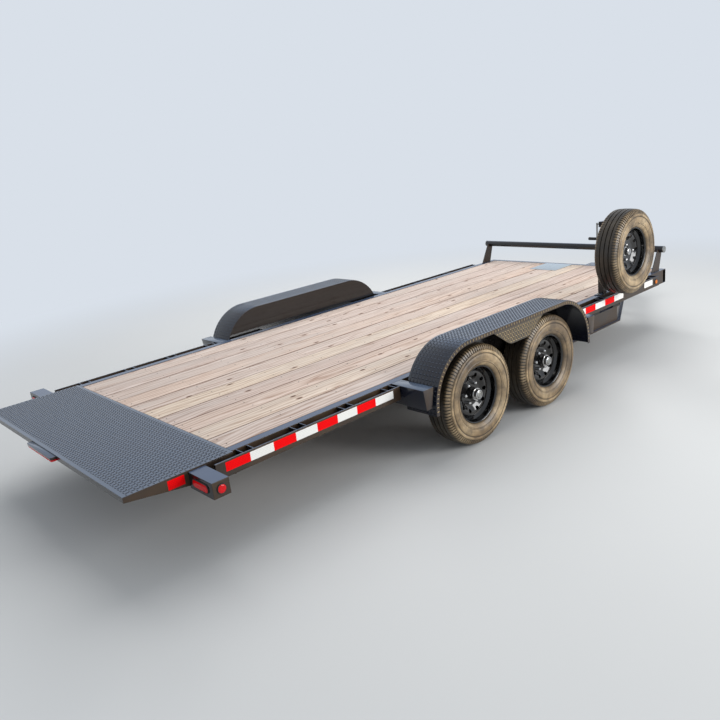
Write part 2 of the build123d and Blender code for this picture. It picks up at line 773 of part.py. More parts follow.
# Pivot brackets under the bed, either side of each tow rail, and the pins through them.
pivot_outer = tow_rail_y + tow_rail_width / 2.0 + 6.0
pivot_inner = tow_rail_y - tow_rail_width / 2.0 - 6.0
with BuildPart() as pivot_brackets:
    for edge, top in ((pivot_outer + pivot_plate, rail_bottom), (pivot_inner, plank_bottom - cross_depth)):
        with BuildSketch(upright_plane(edge)):
            with BuildLine():
                Polyline((st(pivot_station) - 110, top), (st(pivot_station) + 110, top),
                         (st(pivot_station) + 45, pivot_height - 45),
                         (st(pivot_station) - 45, pivot_height - 45), close=True)
            make_face()
            with Locations((st(pivot_station), pivot_height)):
                Circle(pivot_pin_radius + running_clearance, mode=Mode.SUBTRACT)
        extrude(amount=pivot_plate)
    mirror(about=Plane.XZ)
pivot_brackets.part.label = "pivot_brackets"
export_step(pivot_brackets.part, "parts/pivot_brackets.step")

with BuildPart() as pivot_pins:
    with BuildSketch(upright_plane(pivot_outer + pivot_plate + 6.0)):
        with Locations((st(pivot_station), pivot_height)):
            Circle(pivot_pin_radius)
    extrude(amount=pivot_outer - pivot_inner + 2 * pivot_plate + 12.0)
    mirror(about=Plane.XZ)
pivot_pins.part.label = "pivot_pins"
export_step(pivot_pins.part, "parts/pivot_pins.step")

# Coupler: a mounting plate on the rail ends and a hollow ball head.
coupler_base = tow_top + coupler_plate
with BuildPart() as coupler:
    with BuildSketch(Plane.XY.offset(tow_top)):
        with Locations((st(tow_nose), 0)):
            Rectangle(coupler_plate_length, coupler_plate_width)
    extrude(amount=coupler_plate)
    with BuildSketch(Plane.XY.offset(coupler_base)):
        with Locations((st(tow_nose), 0)):
            Rectangle(coupler_station - tow_nose, coupler_neck_width, align=(Align.MIN, Align.CENTER))
            Rectangle(coupler_plate_length / 2.0, coupler_neck_width, align=(Align.MAX, Align.CENTER))
        with Locations((st(coupler_station), 0)):
            Circle(coupler_head_radius)
    extrude(amount=coupler_head_height)
    with BuildSketch(Plane.XY.offset(coupler_base)):
        with Locations((st(coupler_station), 0)):
            Circle(ball_radius)
    extrude(amount=socket_depth, mode=Mode.SUBTRACT)
coupler.part.label = "coupler"
export_step(coupler.part, "parts/coupler.step")

# Jack: housing on a plate between the rails, a side crank and the drop leg with its foot.
with BuildPart() as jack_housing:
    with BuildSketch(Plane.XY.offset(tow_top)):
        with Locations((st(jack_station), 0)):
            Rectangle(jack_plate_length, 2 * (rail_y_at(jack_station) + 10.0))
    extrude(amount=jack_plate)
    with BuildSketch(Plane.XY.offset(jack_tube_bottom)):
        with Locations((st(jack_station), 0)):
            Circle(jack_tube_radius)
    extrude(amount=jack_tube_top - jack_tube_bottom)
    with BuildSketch(Plane.XY.offset(jack_tube_bottom)):
        with Locations((st(jack_station), 0)):
            Circle(jack_leg_radius + jack_clearance)
    extrude(amount=jack_tube_top - jack_tube_bottom - 10.0, mode=Mode.SUBTRACT)
    with BuildSketch(Plane.XY.offset(jack_tube_top - 60)):
        with Locations((st(jack_station), jack_tube_radius - 4.0)):
            Rectangle(60, 40, align=(Align.CENTER, Align.MIN))
    extrude(amount=60)
jack_housing.part.label = "jack_housing"
export_step(jack_housing.part, "parts/jack_housing.step")

crank_y = jack_tube_radius + 36.0
crank_z = jack_tube_top - 30.0
with BuildPart() as jack_crank:
    with BuildSketch(upright_plane(crank_y + 30.0)):
        with Locations((st(jack_station), crank_z)):
            Circle(9)
    extrude(amount=30)
    with BuildSketch(upright_plane(crank_y + 42.0)):
        with Locations((st(jack_station), crank_z + 12)):
            Rectangle(20, 190, align=(Align.CENTER, Align.MAX))
    extrude(amount=12)
    with BuildSketch(upright_plane(crank_y + 140.0)):
        with Locations((st(jack_station), crank_z - 165)):
            Circle(11)
    extrude(amount=98)
jack_crank.part.label = "jack_crank"
export_step(jack_crank.part, "parts/jack_crank.step")

with BuildPart() as jack_leg:
    with BuildSketch(Plane.XY):
        with Locations((st(jack_station), 0)):
            Rectangle(foot_size, foot_size)
    extrude(amount=foot_thickness)
    fillet(jack_leg.edges().filter_by(Axis.Z), 18)
    with BuildSketch(Plane.XY.offset(foot_thickness)):
        with Locations((st(jack_station), 0)):
            Circle(jack_leg_radius)
    extrude(amount=jack_leg_top - foot_thickness)
jack_leg.part.label = "jack_leg"
export_step(jack_leg.part, "parts/jack_leg.step")

# Cushion cylinder: barrel on a cross member of the tow frame, rod to a lug under the bed.
cylinder_length = hypot(rod_station - barrel_station, rod_height - barrel_height)
cylinder_rise = (rod_height - barrel_height) / cylinder_length
cylinder_dir = ((rod_station - barrel_station) / cylinder_length, 0, cylinder_rise)
barrel_origin = Vector(st(barrel_station), 0, barrel_height)
with BuildPart() as cushion_barrel:
    with BuildSketch(upright_plane(barrel_radius)):
        with Locations((barrel_origin.X, barrel_origin.Z)):
            Circle(eye_radius)
            Circle(cylinder_pin_radius + running_clearance, mode=Mode.SUBTRACT)
    extrude(amount=2 * barrel_radius)
    barrel_base = barrel_origin + Vector(*cylinder_dir) * (eye_radius - 4.0)
    with BuildSketch(Plane(origin=barrel_base, z_dir=cylinder_dir)):
        Circle(barrel_radius)
    extrude(amount=barrel_length - eye_radius)
    barrel_mouth = barrel_origin + Vector(*cylinder_dir) * (barrel_length + 1.0)
    with BuildSketch(Plane(origin=barrel_mouth, z_dir=cylinder_dir)):
        Circle(rod_radius + running_clearance)
    extrude(amount=-(barrel_length - 90.0), mode=Mode.SUBTRACT)
cushion_barrel.part.label = "cushion_barrel"
export_step(cushion_barrel.part, "parts/cushion_barrel.step")

rod_inside = 150.0
rod_origin = Vector(st(rod_station), 0, rod_height)
with BuildPart() as cushion_rod:
    with BuildSketch(upright_plane(rod_radius)):
        with Locations((rod_origin.X, rod_origin.Z)):
            Circle(eye_radius)
    extrude(amount=2 * rod_radius)
    with BuildSketch(Plane(origin=rod_origin, z_dir=cylinder_dir)):
        Circle(rod_radius)
    extrude(amount=-(cylinder_length - barrel_length + rod_inside))
    with BuildSketch(upright_plane(rod_radius)):
        with Locations((rod_origin.X, rod_origin.Z)):
            Circle(cylinder_pin_radius + rod_eye_room)
    extrude(amount=2 * rod_radius, mode=Mode.SUBTRACT)
cushion_rod.part.label = "cushion_rod"
export_step(cushion_rod.part, "parts/cushion_rod.step")

# Pins and lugs of the cylinder: one pair on the tow frame, one below the bed.
lug_plate = 10.0
with BuildPart() as barrel_lugs:
    for edge in (barrel_radius + 6.0 + lug_plate, -(barrel_radius + 6.0)):
        with BuildSketch(upright_plane(edge)):
            with BuildLine():
                Polyline((st(barrel_station) - 20, barrel_height - 24), (st(barrel_cross) - cross_box / 2.0, cross_low),
                         (st(barrel_cross) - cross_box / 2.0, cross_low + cross_box),
                         (st(barrel_station) - 20, barrel_height + 24), close=True)
            make_face()
        extrude(amount=lug_plate)
    with BuildSketch(upright_plane(barrel_radius + 6.0 + lug_plate)):
        with Locations((st(barrel_station), barrel_height)):
            Circle(cylinder_pin_radius)
    extrude(amount=2 * (barrel_radius + 6.0 + lug_plate))
barrel_lugs.part.label = "barrel_lugs"
export_step(barrel_lugs.part, "parts/barrel_lugs.step")

with BuildPart() as rod_lugs:
    for edge in (rod_radius + 8.0 + lug_plate, -(rod_radius + 8.0)):
        with BuildSketch(upright_plane(edge)):
            with BuildLine():
                Polyline((st(rod_station) - 50, plank_bottom - cross_depth),
                         (st(rod_station) + 50, plank_bottom - cross_depth),
                         (st(rod_station) + 26, rod_height - 24), (st(rod_station) - 26, rod_height - 24), close=True)
            make_face()
        extrude(amount=lug_plate)
    with BuildSketch(upright_plane(rod_radius + 8.0 + lug_plate)):
        with Locations((st(rod_station), rod_height)):
            Circle(cylinder_pin_radius)
    extrude(amount=2 * (rod_radius + 8.0 + lug_plate))
rod_lugs.part.label = "rod_lugs"
export_step(rod_lugs.part, "parts/rod_lugs.step")
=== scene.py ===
import bmesh
import bpy
import json
import math
from mathutils import Matrix, Vector


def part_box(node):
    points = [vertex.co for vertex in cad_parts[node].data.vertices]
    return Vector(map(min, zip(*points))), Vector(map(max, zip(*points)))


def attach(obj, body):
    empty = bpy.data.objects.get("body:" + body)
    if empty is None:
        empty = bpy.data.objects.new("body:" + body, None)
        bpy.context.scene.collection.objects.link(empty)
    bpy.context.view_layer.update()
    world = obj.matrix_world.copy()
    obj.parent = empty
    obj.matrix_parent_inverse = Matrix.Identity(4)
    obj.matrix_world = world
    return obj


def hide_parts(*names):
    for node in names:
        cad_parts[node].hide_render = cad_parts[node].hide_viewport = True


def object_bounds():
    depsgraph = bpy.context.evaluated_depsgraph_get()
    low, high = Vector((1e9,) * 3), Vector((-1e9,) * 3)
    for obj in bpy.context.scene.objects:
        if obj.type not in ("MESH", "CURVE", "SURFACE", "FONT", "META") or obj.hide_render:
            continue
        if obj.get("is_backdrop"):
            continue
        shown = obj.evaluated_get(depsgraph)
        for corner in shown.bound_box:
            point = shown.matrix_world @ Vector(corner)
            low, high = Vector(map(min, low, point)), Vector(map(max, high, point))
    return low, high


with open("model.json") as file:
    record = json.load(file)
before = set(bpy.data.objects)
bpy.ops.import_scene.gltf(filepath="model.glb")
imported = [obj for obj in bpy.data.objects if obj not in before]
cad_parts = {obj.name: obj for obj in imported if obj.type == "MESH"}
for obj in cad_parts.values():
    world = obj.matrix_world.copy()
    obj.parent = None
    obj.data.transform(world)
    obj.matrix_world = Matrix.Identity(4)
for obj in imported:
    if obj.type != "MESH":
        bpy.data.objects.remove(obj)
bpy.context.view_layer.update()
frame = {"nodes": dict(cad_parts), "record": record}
nodes = frame["nodes"]
mm = 0.001

# Where the trailer stands in the shared frame
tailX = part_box("tail_plate")[0].x      # rear edge of the tail
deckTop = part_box("tail_plate")[1].z
sides = {"left": 1, "right": -1}
wheelNames = ["front_left", "front_right", "rear_left", "rear_right"]


# Working steps shared by the pieces
def clearSelection():
    bpy.ops.object.select_all(action="DESELECT")


def namePiece(name):
    piece = bpy.context.object
    piece.name = name
    piece.data.name = name
    return piece


def takeUp(piece):
    clearSelection()
    piece.select_set(True)
    bpy.context.view_layer.objects.active = piece


def enterEdit(piece, kind="FACE"):
    takeUp(piece)
    bpy.ops.object.mode_set(mode="EDIT")
    bpy.ops.mesh.select_mode(type=kind)
    bpy.ops.mesh.select_all(action="SELECT")


def leaveEdit():
    bpy.ops.object.mode_set(mode="OBJECT")


def pick(kind, test):
    # selects faces, edges or points of the open mesh by their place and normal
    data = bpy.context.object.data
    bpy.ops.mesh.select_mode(type=kind)
    bpy.ops.mesh.select_all(action="DESELECT")
    shape = bmesh.from_edit_mesh(data)
    if kind == "FACE":
        for face in shape.faces:
            face.select_set(test(face.calc_center_median(), face.normal))
    elif kind == "EDGE":
        for edge in shape.edges:
            edge.select_set(test(edge.verts[0].co, edge.verts[1].co))
    else:
        for point in shape.verts:
            point.select_set(test(point.co))
    shape.select_flush_mode()
    bmesh.update_edit_mesh(data)


def settle(piece):
    takeUp(piece)
    bpy.ops.object.transform_apply(location=True, rotation=True, scale=True)


def applyModifier(piece, kind, **settings):
    takeUp(piece)
    modifier = piece.modifiers.new(kind.lower(), kind)
    for key, value in settings.items():
        setattr(modifier, key, value)
    bpy.ops.object.modifier_apply(modifier=modifier.name)


def placeCopy(source, matrix):
    twin = source.copy()
    twin.data = source.data.copy()
    bpy.context.collection.objects.link(twin)
    twin.matrix_world = matrix
    return twin


def joinPieces(name, members):
    clearSelection()
    for member in members:
        member.select_set(True)
    bpy.context.view_layer.objects.active = members[0]
    if len(members) > 1:
        bpy.ops.object.join()
    piece = namePiece(name)
    settle(piece)
    return piece


def scatter(name, source, matrices):
    # one joined mesh of copies of a small shape, which is then taken away
    piece = joinPieces(name, [placeCopy(source, matrix) for matrix in matrices])
    bpy.data.objects.remove(source)
    return piece


def finishPiece(piece, finish, body, replaced=(), smoothAngle=35):
    piece.data.materials.clear()
    piece.data.materials.append(finish)
    takeUp(piece)
    bpy.ops.object.shade_smooth_by_angle(angle=math.radians(smoothAngle))
    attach(piece, body)
    if replaced:
        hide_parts(*replaced)


def startPiece(name, kind, **settings):
    clearSelection()
    getattr(bpy.ops.mesh, "primitive_" + kind + "_add")(**settings)
    return namePiece(name)


def pickTop():
    pick("FACE", lambda middle, normal: normal.z > 0.9)


def easeEdges(offset, segments=2):
    bpy.ops.mesh.bevel(offset=offset, segments=segments, affect="EDGES")


def extrudeBy(step):
    bpy.ops.mesh.extrude_region_move(TRANSFORM_OT_translate={"value": step})


def rodPiece(name, corners, radius, bottom, top):
    # an upright rod between two heights
    piece = startPiece(name, "cylinder", vertices=corners, radius=radius, depth=top - bottom,
                       location=(0, 0, (bottom + top) / 2))
    settle(piece)
    return piece


def plainBlock(name, low, high):
    # a block between two corners
    low, high = Vector(low), Vector(high)
    piece = startPiece(name, "cube", size=1, location=(low + high) / 2)
    piece.scale = high - low
    settle(piece)
    return piece


def blockPiece(name, low, high, bevel, segments=2):
    # a block with eased edges
    piece = plainBlock(name, low, high)
    enterEdit(piece, "EDGE")
    easeEdges(bevel, segments)
    leaveEdit()
    return piece


def drawProfile(name, profile):
    # a chain of points across the piece: offset along the axle, then radius, in mm
    piece = startPiece(name, "plane", size=mm)
    enterEdit(piece, "VERT")
    bpy.ops.mesh.merge(type="CENTER")
    bpy.ops.transform.translate(value=(0, profile[0][0] * mm, profile[0][1] * mm))
    for (y0, r0), (y1, r1) in zip(profile, profile[1:]):
        extrudeBy((0, (y1 - y0) * mm, (r1 - r0) * mm))
    bpy.ops.mesh.select_all(action="SELECT")
    return piece


def closeTurned():
    bpy.ops.mesh.select_all(action="SELECT")
    bpy.ops.mesh.remove_doubles(threshold=0.02 * mm)
    bpy.ops.mesh.normals_make_consistent(inside=False)
    leaveEdit()


def turnPiece(name, profile, steps):
    # a profile turned once round the Y axis
    piece = drawProfile(name, profile)
    bpy.ops.mesh.spin(steps=steps, angle=math.tau, center=(0, 0, 0), axis=(0, 1, 0))
    closeTurned()
    return piece


def toSide(side):
    # turns a piece drawn towards +Y to its own side
    return Matrix.Rotation(0 if side > 0 else math.pi, 4, "Z")


def wheelPlace(node, side):
    # from a wheel drawn at the origin, outer face towards +Y, to its place
    low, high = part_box(node)
    return Matrix.Translation((low + high) / 2) @ toSide(side)


# Camera at the photograph's station
cameraSetup = dict(place=(-1.137, -4.131, 2.034), azimuth=48.99, elevation=-16.84, roll=-6.442,
                   focal=722.8, image=720, sensor=36.0)
azimuth, elevation, roll = (math.radians(cameraSetup[k]) for k in ("azimuth", "elevation", "roll"))
sight = Vector((math.cos(elevation) * math.cos(azimuth), math.cos(elevation) * math.sin(azimuth),
                math.sin(elevation)))
level = sight.cross(Vector((0, 0, 1))).normalized()
upward = level.cross(sight)
imageRight = math.cos(roll) * level + math.sin(roll) * upward
imageUp = -math.sin(roll) * level + math.cos(roll) * upward
cameraData = bpy.data.cameras.new("photoCamera")
cameraData.sensor_width = cameraSetup["sensor"]
cameraData.lens = cameraSetup["focal"] / cameraSetup["image"] * cameraSetup["sensor"]
camera = bpy.data.objects.new("photoCamera", cameraData)
bpy.context.scene.collection.objects.link(camera)
turned = Matrix((imageRight, imageUp, -sight)).transposed().to_4x4()
camera.matrix_world = Matrix.Translation(Vector(cameraSetup["place"]) + Vector((tailX, 0, 0))) @ turned
bpy.context.scene.camera = camera
bpy.context.scene.view_settings.view_transform = "Standard"


# Colours and nodes
def linearColour(code):
    channels = [int(code[i:i + 2], 16) / 255 for i in (1, 3, 5)]
    return [c / 12.92 if c <= 0.04045 else ((c + 0.055) / 1.055) ** 2.4 for c in channels] + [1.0]


def plugIn(tree, node, links):
    # links to a node's sockets; where a whole node is given, from its first output
    for key, source in links.items():
        socket = source if isinstance(source, bpy.types.NodeSocket) else source[0]
        tree.links.new(socket, node.inputs[key])


def addNode(tree, kind, links=None, values=None, **settings):
    # adds a node with its settings, values and links, and gives its outputs
    node = tree.nodes.new("ShaderNode" + kind)
    for key, value in settings.items():
        setattr(node, key, value)
    for key, value in (values or {}).items():
        node.inputs[key].default_value = linearColour(value) if isinstance(value, str) else value
    plugIn(tree, node, links or {})
    return node.outputs


def setRamp(ports, stops):
    ramp = ports[0].node.color_ramp
    while len(ramp.elements) < len(stops):
        ramp.elements.new(1.0)
    for element, (place, code) in zip(ramp.elements, stops):
        element.position = place
        element.color = linearColour(code)
    return ports["Color"]


def newFinish(name, colour, **values):
    finish = bpy.data.materials.new(name)
    finish.use_nodes = True
    shader = finish.node_tree.nodes["Principled BSDF"]
    shader.inputs["Base Color"].default_value = linearColour(colour)
    for key, value in values.items():
        shader.inputs[key].default_value = value
    return finish, finish.node_tree, shader, addNode(finish.node_tree, "TexCoord")["Object"]


# Enamel sprayed on steel: deep black under a clear gloss, with a soft orange peel. Tops and ends stay mostly
# clean and mirror the sky; faces turned to the side carry a thin brown film, partly road dust and partly
# painted warm sunlight, that dulls them.
def sprayedEnamel(name, colour, dustAndPaintedLight, sideFilmShare, gloss, dull, patchSize=350 * mm, peelSize=6 * mm, coat=0.6,
                  ior=1.45, paintedSkySheen=None):
    finish, tree, shader, place = newFinish(name, colour, IOR=ior)
    shader.inputs["Coat Roughness"].default_value = gloss
    way = addNode(tree, "SeparateXYZ", {"Vector": addNode(tree, "TexCoord")["Normal"]})
    # faces turned to the sides: a brown film of road dust and painted warm sunlight
    turned = addNode(tree, "Math", {0: way["Y"]}, operation="ABSOLUTE")
    sideDustAndSunlight = addNode(tree, "MapRange", {"Value": turned},
                       {"From Min": 0.5, "From Max": 0.95, "To Min": 0.1, "To Max": 1.0})
    patches = addNode(tree, "TexNoise", {"Vector": place},
                      {"Scale": 1 / patchSize, "Detail": 7.0, "Roughness": 0.65})
    cloud = addNode(tree, "MapRange", {"Value": patches},
                    {"From Min": 0.32, "From Max": 0.72, "To Min": 0.25 * sideFilmShare,
                     "To Max": sideFilmShare})
    film = addNode(tree, "Math", {0: cloud, 1: sideDustAndSunlight}, operation="MULTIPLY")
    tint = addNode(tree, "MixRGB", {"Fac": film}, {"Color1": colour, "Color2": dustAndPaintedLight})
    if paintedSkySheen:
        # painted sky reflection: a pale blue-grey tint on level faces
        paintedSkyShare = addNode(tree, "MapRange", {"Value": way["Z"]},
                          {"From Min": 0.9, "From Max": 0.99, "To Max": paintedSkySheen[1]})
        tint = addNode(tree, "MixRGB", {"Fac": paintedSkyShare, "Color1": tint}, {"Color2": paintedSkySheen[0]})
    shine = addNode(tree, "MapRange", {"Value": film},
                    {"From Max": sideFilmShare, "To Min": gloss, "To Max": dull})
    peel = addNode(tree, "TexNoise", {"Vector": place}, {"Scale": 1 / peelSize, "Detail": 2.0})
    bump = addNode(tree, "Bump", {"Height": peel}, {"Strength": 0.05, "Distance": 0.4 * mm})
    clear = addNode(tree, "MapRange", {"Value": film},
                    {"From Max": 0.65, "To Min": coat, "To Max": 0.2 * coat})
    plugIn(tree, shader, {"Base Color": tint, "Roughness": shine, "Coat Weight": clear, "Normal": bump})
    return finish


# frame: the bluish black base and the level-face tint are painted sky reflection
frameEnamel = sprayedEnamel("glossBlackEnamel", "#0a0d13", "#563f25", 0.65, 0.22, 0.62, coat=0.4, ior=1.4,
                            paintedSkySheen=("#5a6f92", 0.45))
panelEnamel = sprayedEnamel("cleanGlossEnamel", "#08090c", "#3a3026", 0.2, 0.1, 0.2, coat=0.6)
# tread plate: the navy base and the level-face tint are painted sky reflection on black steel
treadEnamel = sprayedEnamel("blackTreadPlateEnamel", "#0e1726", "#544129", 0.85, 0.18, 0.5,
                            patchSize=200 * mm, ior=1.36, paintedSkySheen=("#64768f", 0.45))
# valances: the brownish base and side film are road dust and painted warm sunlight
dustySunlitTreadEnamel = sprayedEnamel("treadPlateEnamelDustAndPaintedSun", "#191611", "#5f5039", 0.8, 0.3, 0.5,
                                 patchSize=200 * mm)
# lip and valance lugs: gold from dust and painted sunlit highlights
goldLugEnamel = sprayedEnamel("lugEnamelDustAndPaintedGlint", "#8a7856", "#c4aa7c", 0.9, 0.2, 0.34, patchSize=120 * mm)
wheelEnamel = sprayedEnamel("wheelGlossEnamel", "#040405", "#40352a", 0.15, 0.08, 0.2, patchSize=90 * mm,
                            coat=0.6, ior=1.42)
springEnamel = sprayedEnamel("springSteelPaint", "#191715", "#5d4d3d", 0.7, 0.42, 0.7, patchSize=150 * mm,
                             coat=0.0)
hubIron = sprayedEnamel("castHubIron", "#0f0e0e", "#4b4034", 0.35, 0.25, 0.5, patchSize=60 * mm,
                        peelSize=2 * mm)


# Bright metal: chrome, zinc plate and rolled sheet differ in tone, roughness and grain.
def brightMetal(name, colour, stain, gloss, dull, patchSize, stretch=(1, 1, 1)):
    finish, tree, shader, place = newFinish(name, colour, Metallic=1.0)
    along = addNode(tree, "Mapping", {"Vector": place}, {"Scale": stretch})
    cloud = addNode(tree, "TexNoise", {"Vector": along},
                    {"Scale": 1 / patchSize, "Detail": 6.0, "Roughness": 0.6})
    tint = addNode(tree, "MixRGB", {"Fac": cloud}, {"Color1": colour, "Color2": stain})
    shine = addNode(tree, "MapRange", {"Value": cloud},
                    {"From Min": 0.3, "From Max": 0.7, "To Min": gloss, "To Max": dull})
    plugIn(tree, shader, {"Base Color": tint, "Roughness": shine})
    return finish


chrome = brightMetal("chromePlate", "#d4d5d8", "#a8a39a", 0.06, 0.2, 25 * mm)
rodChrome = brightMetal("hardChromeRod", "#cfd0d3", "#b4b4b4", 0.08, 0.18, 60 * mm)
zincPlate = brightMetal("zincPlate", "#a9adb0", "#8a8477", 0.28, 0.5, 30 * mm)
# the pale blue tint of the sheet is partly painted sky reflection
sheetSteel = brightMetal("coldRolledSheet", "#e3edf2", "#bccbd5", 0.25, 0.45, 300 * mm, stretch=(0.2, 3, 1))


# Pine boards left out in the weather: pinkish tan gone partly grey, growth rings drawn out
# along each board, brown knots, dirt along the seams, trodden mud and a dull, dry surface.
# The fibres are drawn some three times as coarse as real ones, so that they show.
deck = dict(count=10, gap=4 * mm, edge=4 * mm, screwInset=45 * mm, screwRadius=4.2 * mm, screwHeight=1.0 * mm,
            screwChamfer=(1.2 * mm, 0.3 * mm), screwRecess=(1.6 * mm, -1.0 * mm),
            crossWidth=38 * mm, crossCount=12, sink=[0.4, 0.0, 1.1, 0.5, 0.2, 1.4, 0.0, 0.8, 0.3, 1.0])
deckLow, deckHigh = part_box("deck_planks")
boardPitch = (deckHigh.y - deckLow.y + deck["gap"]) / deck["count"]
boardHalf = (boardPitch - deck["gap"]) / 2
pineLook = dict(ringWidth=17 * mm, ringRun=1100 * mm, fibre=5 * mm, fibreRun=260 * mm, streak=16 * mm,
                streakRun=900 * mm, knotSpacing=420 * mm, stainSize=480 * mm, seamDirt=6 * mm)


def weatheredPine():
    finish, tree, shader, place = newFinish("weatheredPine", "#cdbbac", Roughness=0.82)
    shader.inputs["Specular IOR Level"].default_value = 0.2
    axes = addNode(tree, "SeparateXYZ", {"Vector": place})
    inward = addNode(tree, "Math", {0: axes["Y"]}, {1: deckLow.y}, operation="SUBTRACT")
    count = addNode(tree, "Math", {0: inward}, {1: boardPitch}, operation="DIVIDE")
    board = addNode(tree, "Math", {0: count}, operation="FLOOR")
    share = addNode(tree, "Math", {0: count}, operation="FRACT")
    chance = addNode(tree, "TexWhiteNoise", {"W": board}, noise_dimensions="1D")
    # each board is cut from another log, so its pattern is moved by its own chance
    shift = addNode(tree, "VectorMath", {0: chance["Color"]}, {1: (31.0, 17.0, 5.0)}, operation="MULTIPLY")
    log = addNode(tree, "VectorMath", {0: place, 1: shift}, operation="ADD")
    # knots: a few cells drawn out along the board
    knotMap = addNode(tree, "Mapping", {"Vector": log}, {"Scale": (1.0, 2.2, 1.0)})
    cells = addNode(tree, "TexVoronoi", {"Vector": knotMap}, {"Scale": 1 / pineLook["knotSpacing"]},
                    voronoi_dimensions="2D")
    kept = addNode(tree, "SeparateColor", {"Color": cells["Color"]})
    chosen = addNode(tree, "Math", {0: kept}, {1: 0.55}, operation="LESS_THAN")
    near = addNode(tree, "MapRange", {"Value": cells["Distance"]},
                   {"From Min": 0.01, "From Max": 0.12, "To Min": 1.0, "To Max": 0.0},
                   interpolation_type="SMOOTHERSTEP")
    knot = addNode(tree, "Math", {0: near, 1: chosen}, operation="MULTIPLY")
    # clouds drawn out along the boards: source, stretch, scale, detail, roughness
    clouds = {}
    for key, source, stretch, scale, detail, rough in (
            ("wander", log, (1 / pineLook["ringRun"], 6.0, 1.0), 1.0, 3.0, 0.5),
            ("fibre", log, (1 / pineLook["fibreRun"], 1 / pineLook["fibre"], 1.0), 1.0, 4.0, 0.7),
            ("streak", log, (1 / pineLook["streakRun"], 1 / pineLook["streak"], 1.0), 1.0, 4.0, 0.6),
            ("stain", log, (0.35, 1.6, 1.0), 1 / pineLook["stainSize"], 6.0, 0.62),
            ("mud", place, (0.75, 1.7, 1.0), 3.4, 9.0, 0.74)):
        drawn = addNode(tree, "Mapping", {"Vector": source}, {"Scale": stretch})
        clouds[key] = addNode(tree, "TexNoise", {"Vector": drawn},
                              {"Scale": scale, "Detail": detail, "Roughness": rough})
    # growth rings wander slowly along the board and bow round the knots
    logAxes = addNode(tree, "SeparateXYZ", {"Vector": log})
    across = addNode(tree, "Math", {0: logAxes["Y"]}, {1: 1 / pineLook["ringWidth"]}, operation="MULTIPLY")
    bowed = addNode(tree, "Math", {0: clouds["wander"], 2: across}, {1: 14.0}, operation="MULTIPLY_ADD")
    phase = addNode(tree, "Math", {0: knot, 2: bowed}, {1: 2.2}, operation="MULTIPLY_ADD")
    rings = addNode(tree, "Math", {0: phase}, {1: 1.0}, operation="PINGPONG")
    ringLines = addNode(tree, "Math", {0: rings, 1: clouds["fibre"]}, operation="MULTIPLY")
    lines = addNode(tree, "Math", {0: clouds["streak"], 2: ringLines}, {1: 0.9}, operation="MULTIPLY_ADD")
    ramp = addNode(tree, "ValToRGB", {"Fac": lines})
    wood = setRamp(ramp, [(0.3, "#e8dfd7"), (0.55, "#e0d5cc"), (0.8, "#d1c2b7"), (1.0, "#b09b8e")])
    # every board has its own tone, from yellowish to pink
    tone = addNode(tree, "ValToRGB", {"Fac": chance["Value"]})
    boardTone = setRamp(tone, [(0.0, "#fff7ea"), (0.4, "#f8f1ec"), (0.75, "#ece4e2"), (1.0, "#fdefe4")])
    wood = addNode(tree, "MixRGB", {"Color1": wood, "Color2": boardTone}, {"Fac": 1.0}, blend_type="MULTIPLY")
    # distance from the middle of the board, as a share of the pitch
    middle = boardHalf / boardPitch
    offMiddle = addNode(tree, "Math", {0: share}, {1: middle}, operation="SUBTRACT")
    reach = addNode(tree, "Math", {0: offMiddle}, operation="ABSOLUTE")
    # laid over the wood in turn: source, where it starts, where it is full, how much, colour
    for source, start, full, most, colour in (
            (clouds["stain"], 0.45, 0.72, 0.6, "#bdb4ad"),  # grey bloom in slow patches
            (clouds["mud"], 0.6, 0.75, 0.7, "#8b6250"),  # reddish mud trodden in here and there
            (knot, 0.1, 0.6, 0.4, "#a27b63"),  # brown round the knots
            (knot, 0.55, 0.95, 0.9, "#4f352a"),  # and their dark cores
            (reach, middle - pineLook["seamDirt"] / boardPitch, middle, 0.9, "#7c6152")):  # dirt in the seams
        layer = addNode(tree, "MapRange", {"Value": source},
                        {"From Min": start, "From Max": full, "To Max": most})
        wood = addNode(tree, "MixRGB", {"Fac": layer, "Color1": wood}, {"Color2": colour})
    bump = addNode(tree, "Bump", {"Height": lines}, {"Strength": 0.3, "Distance": 0.8 * mm})
    plugIn(tree, shader, {"Base Color": wood, "Normal": bump})
    return finish


pine = weatheredPine()


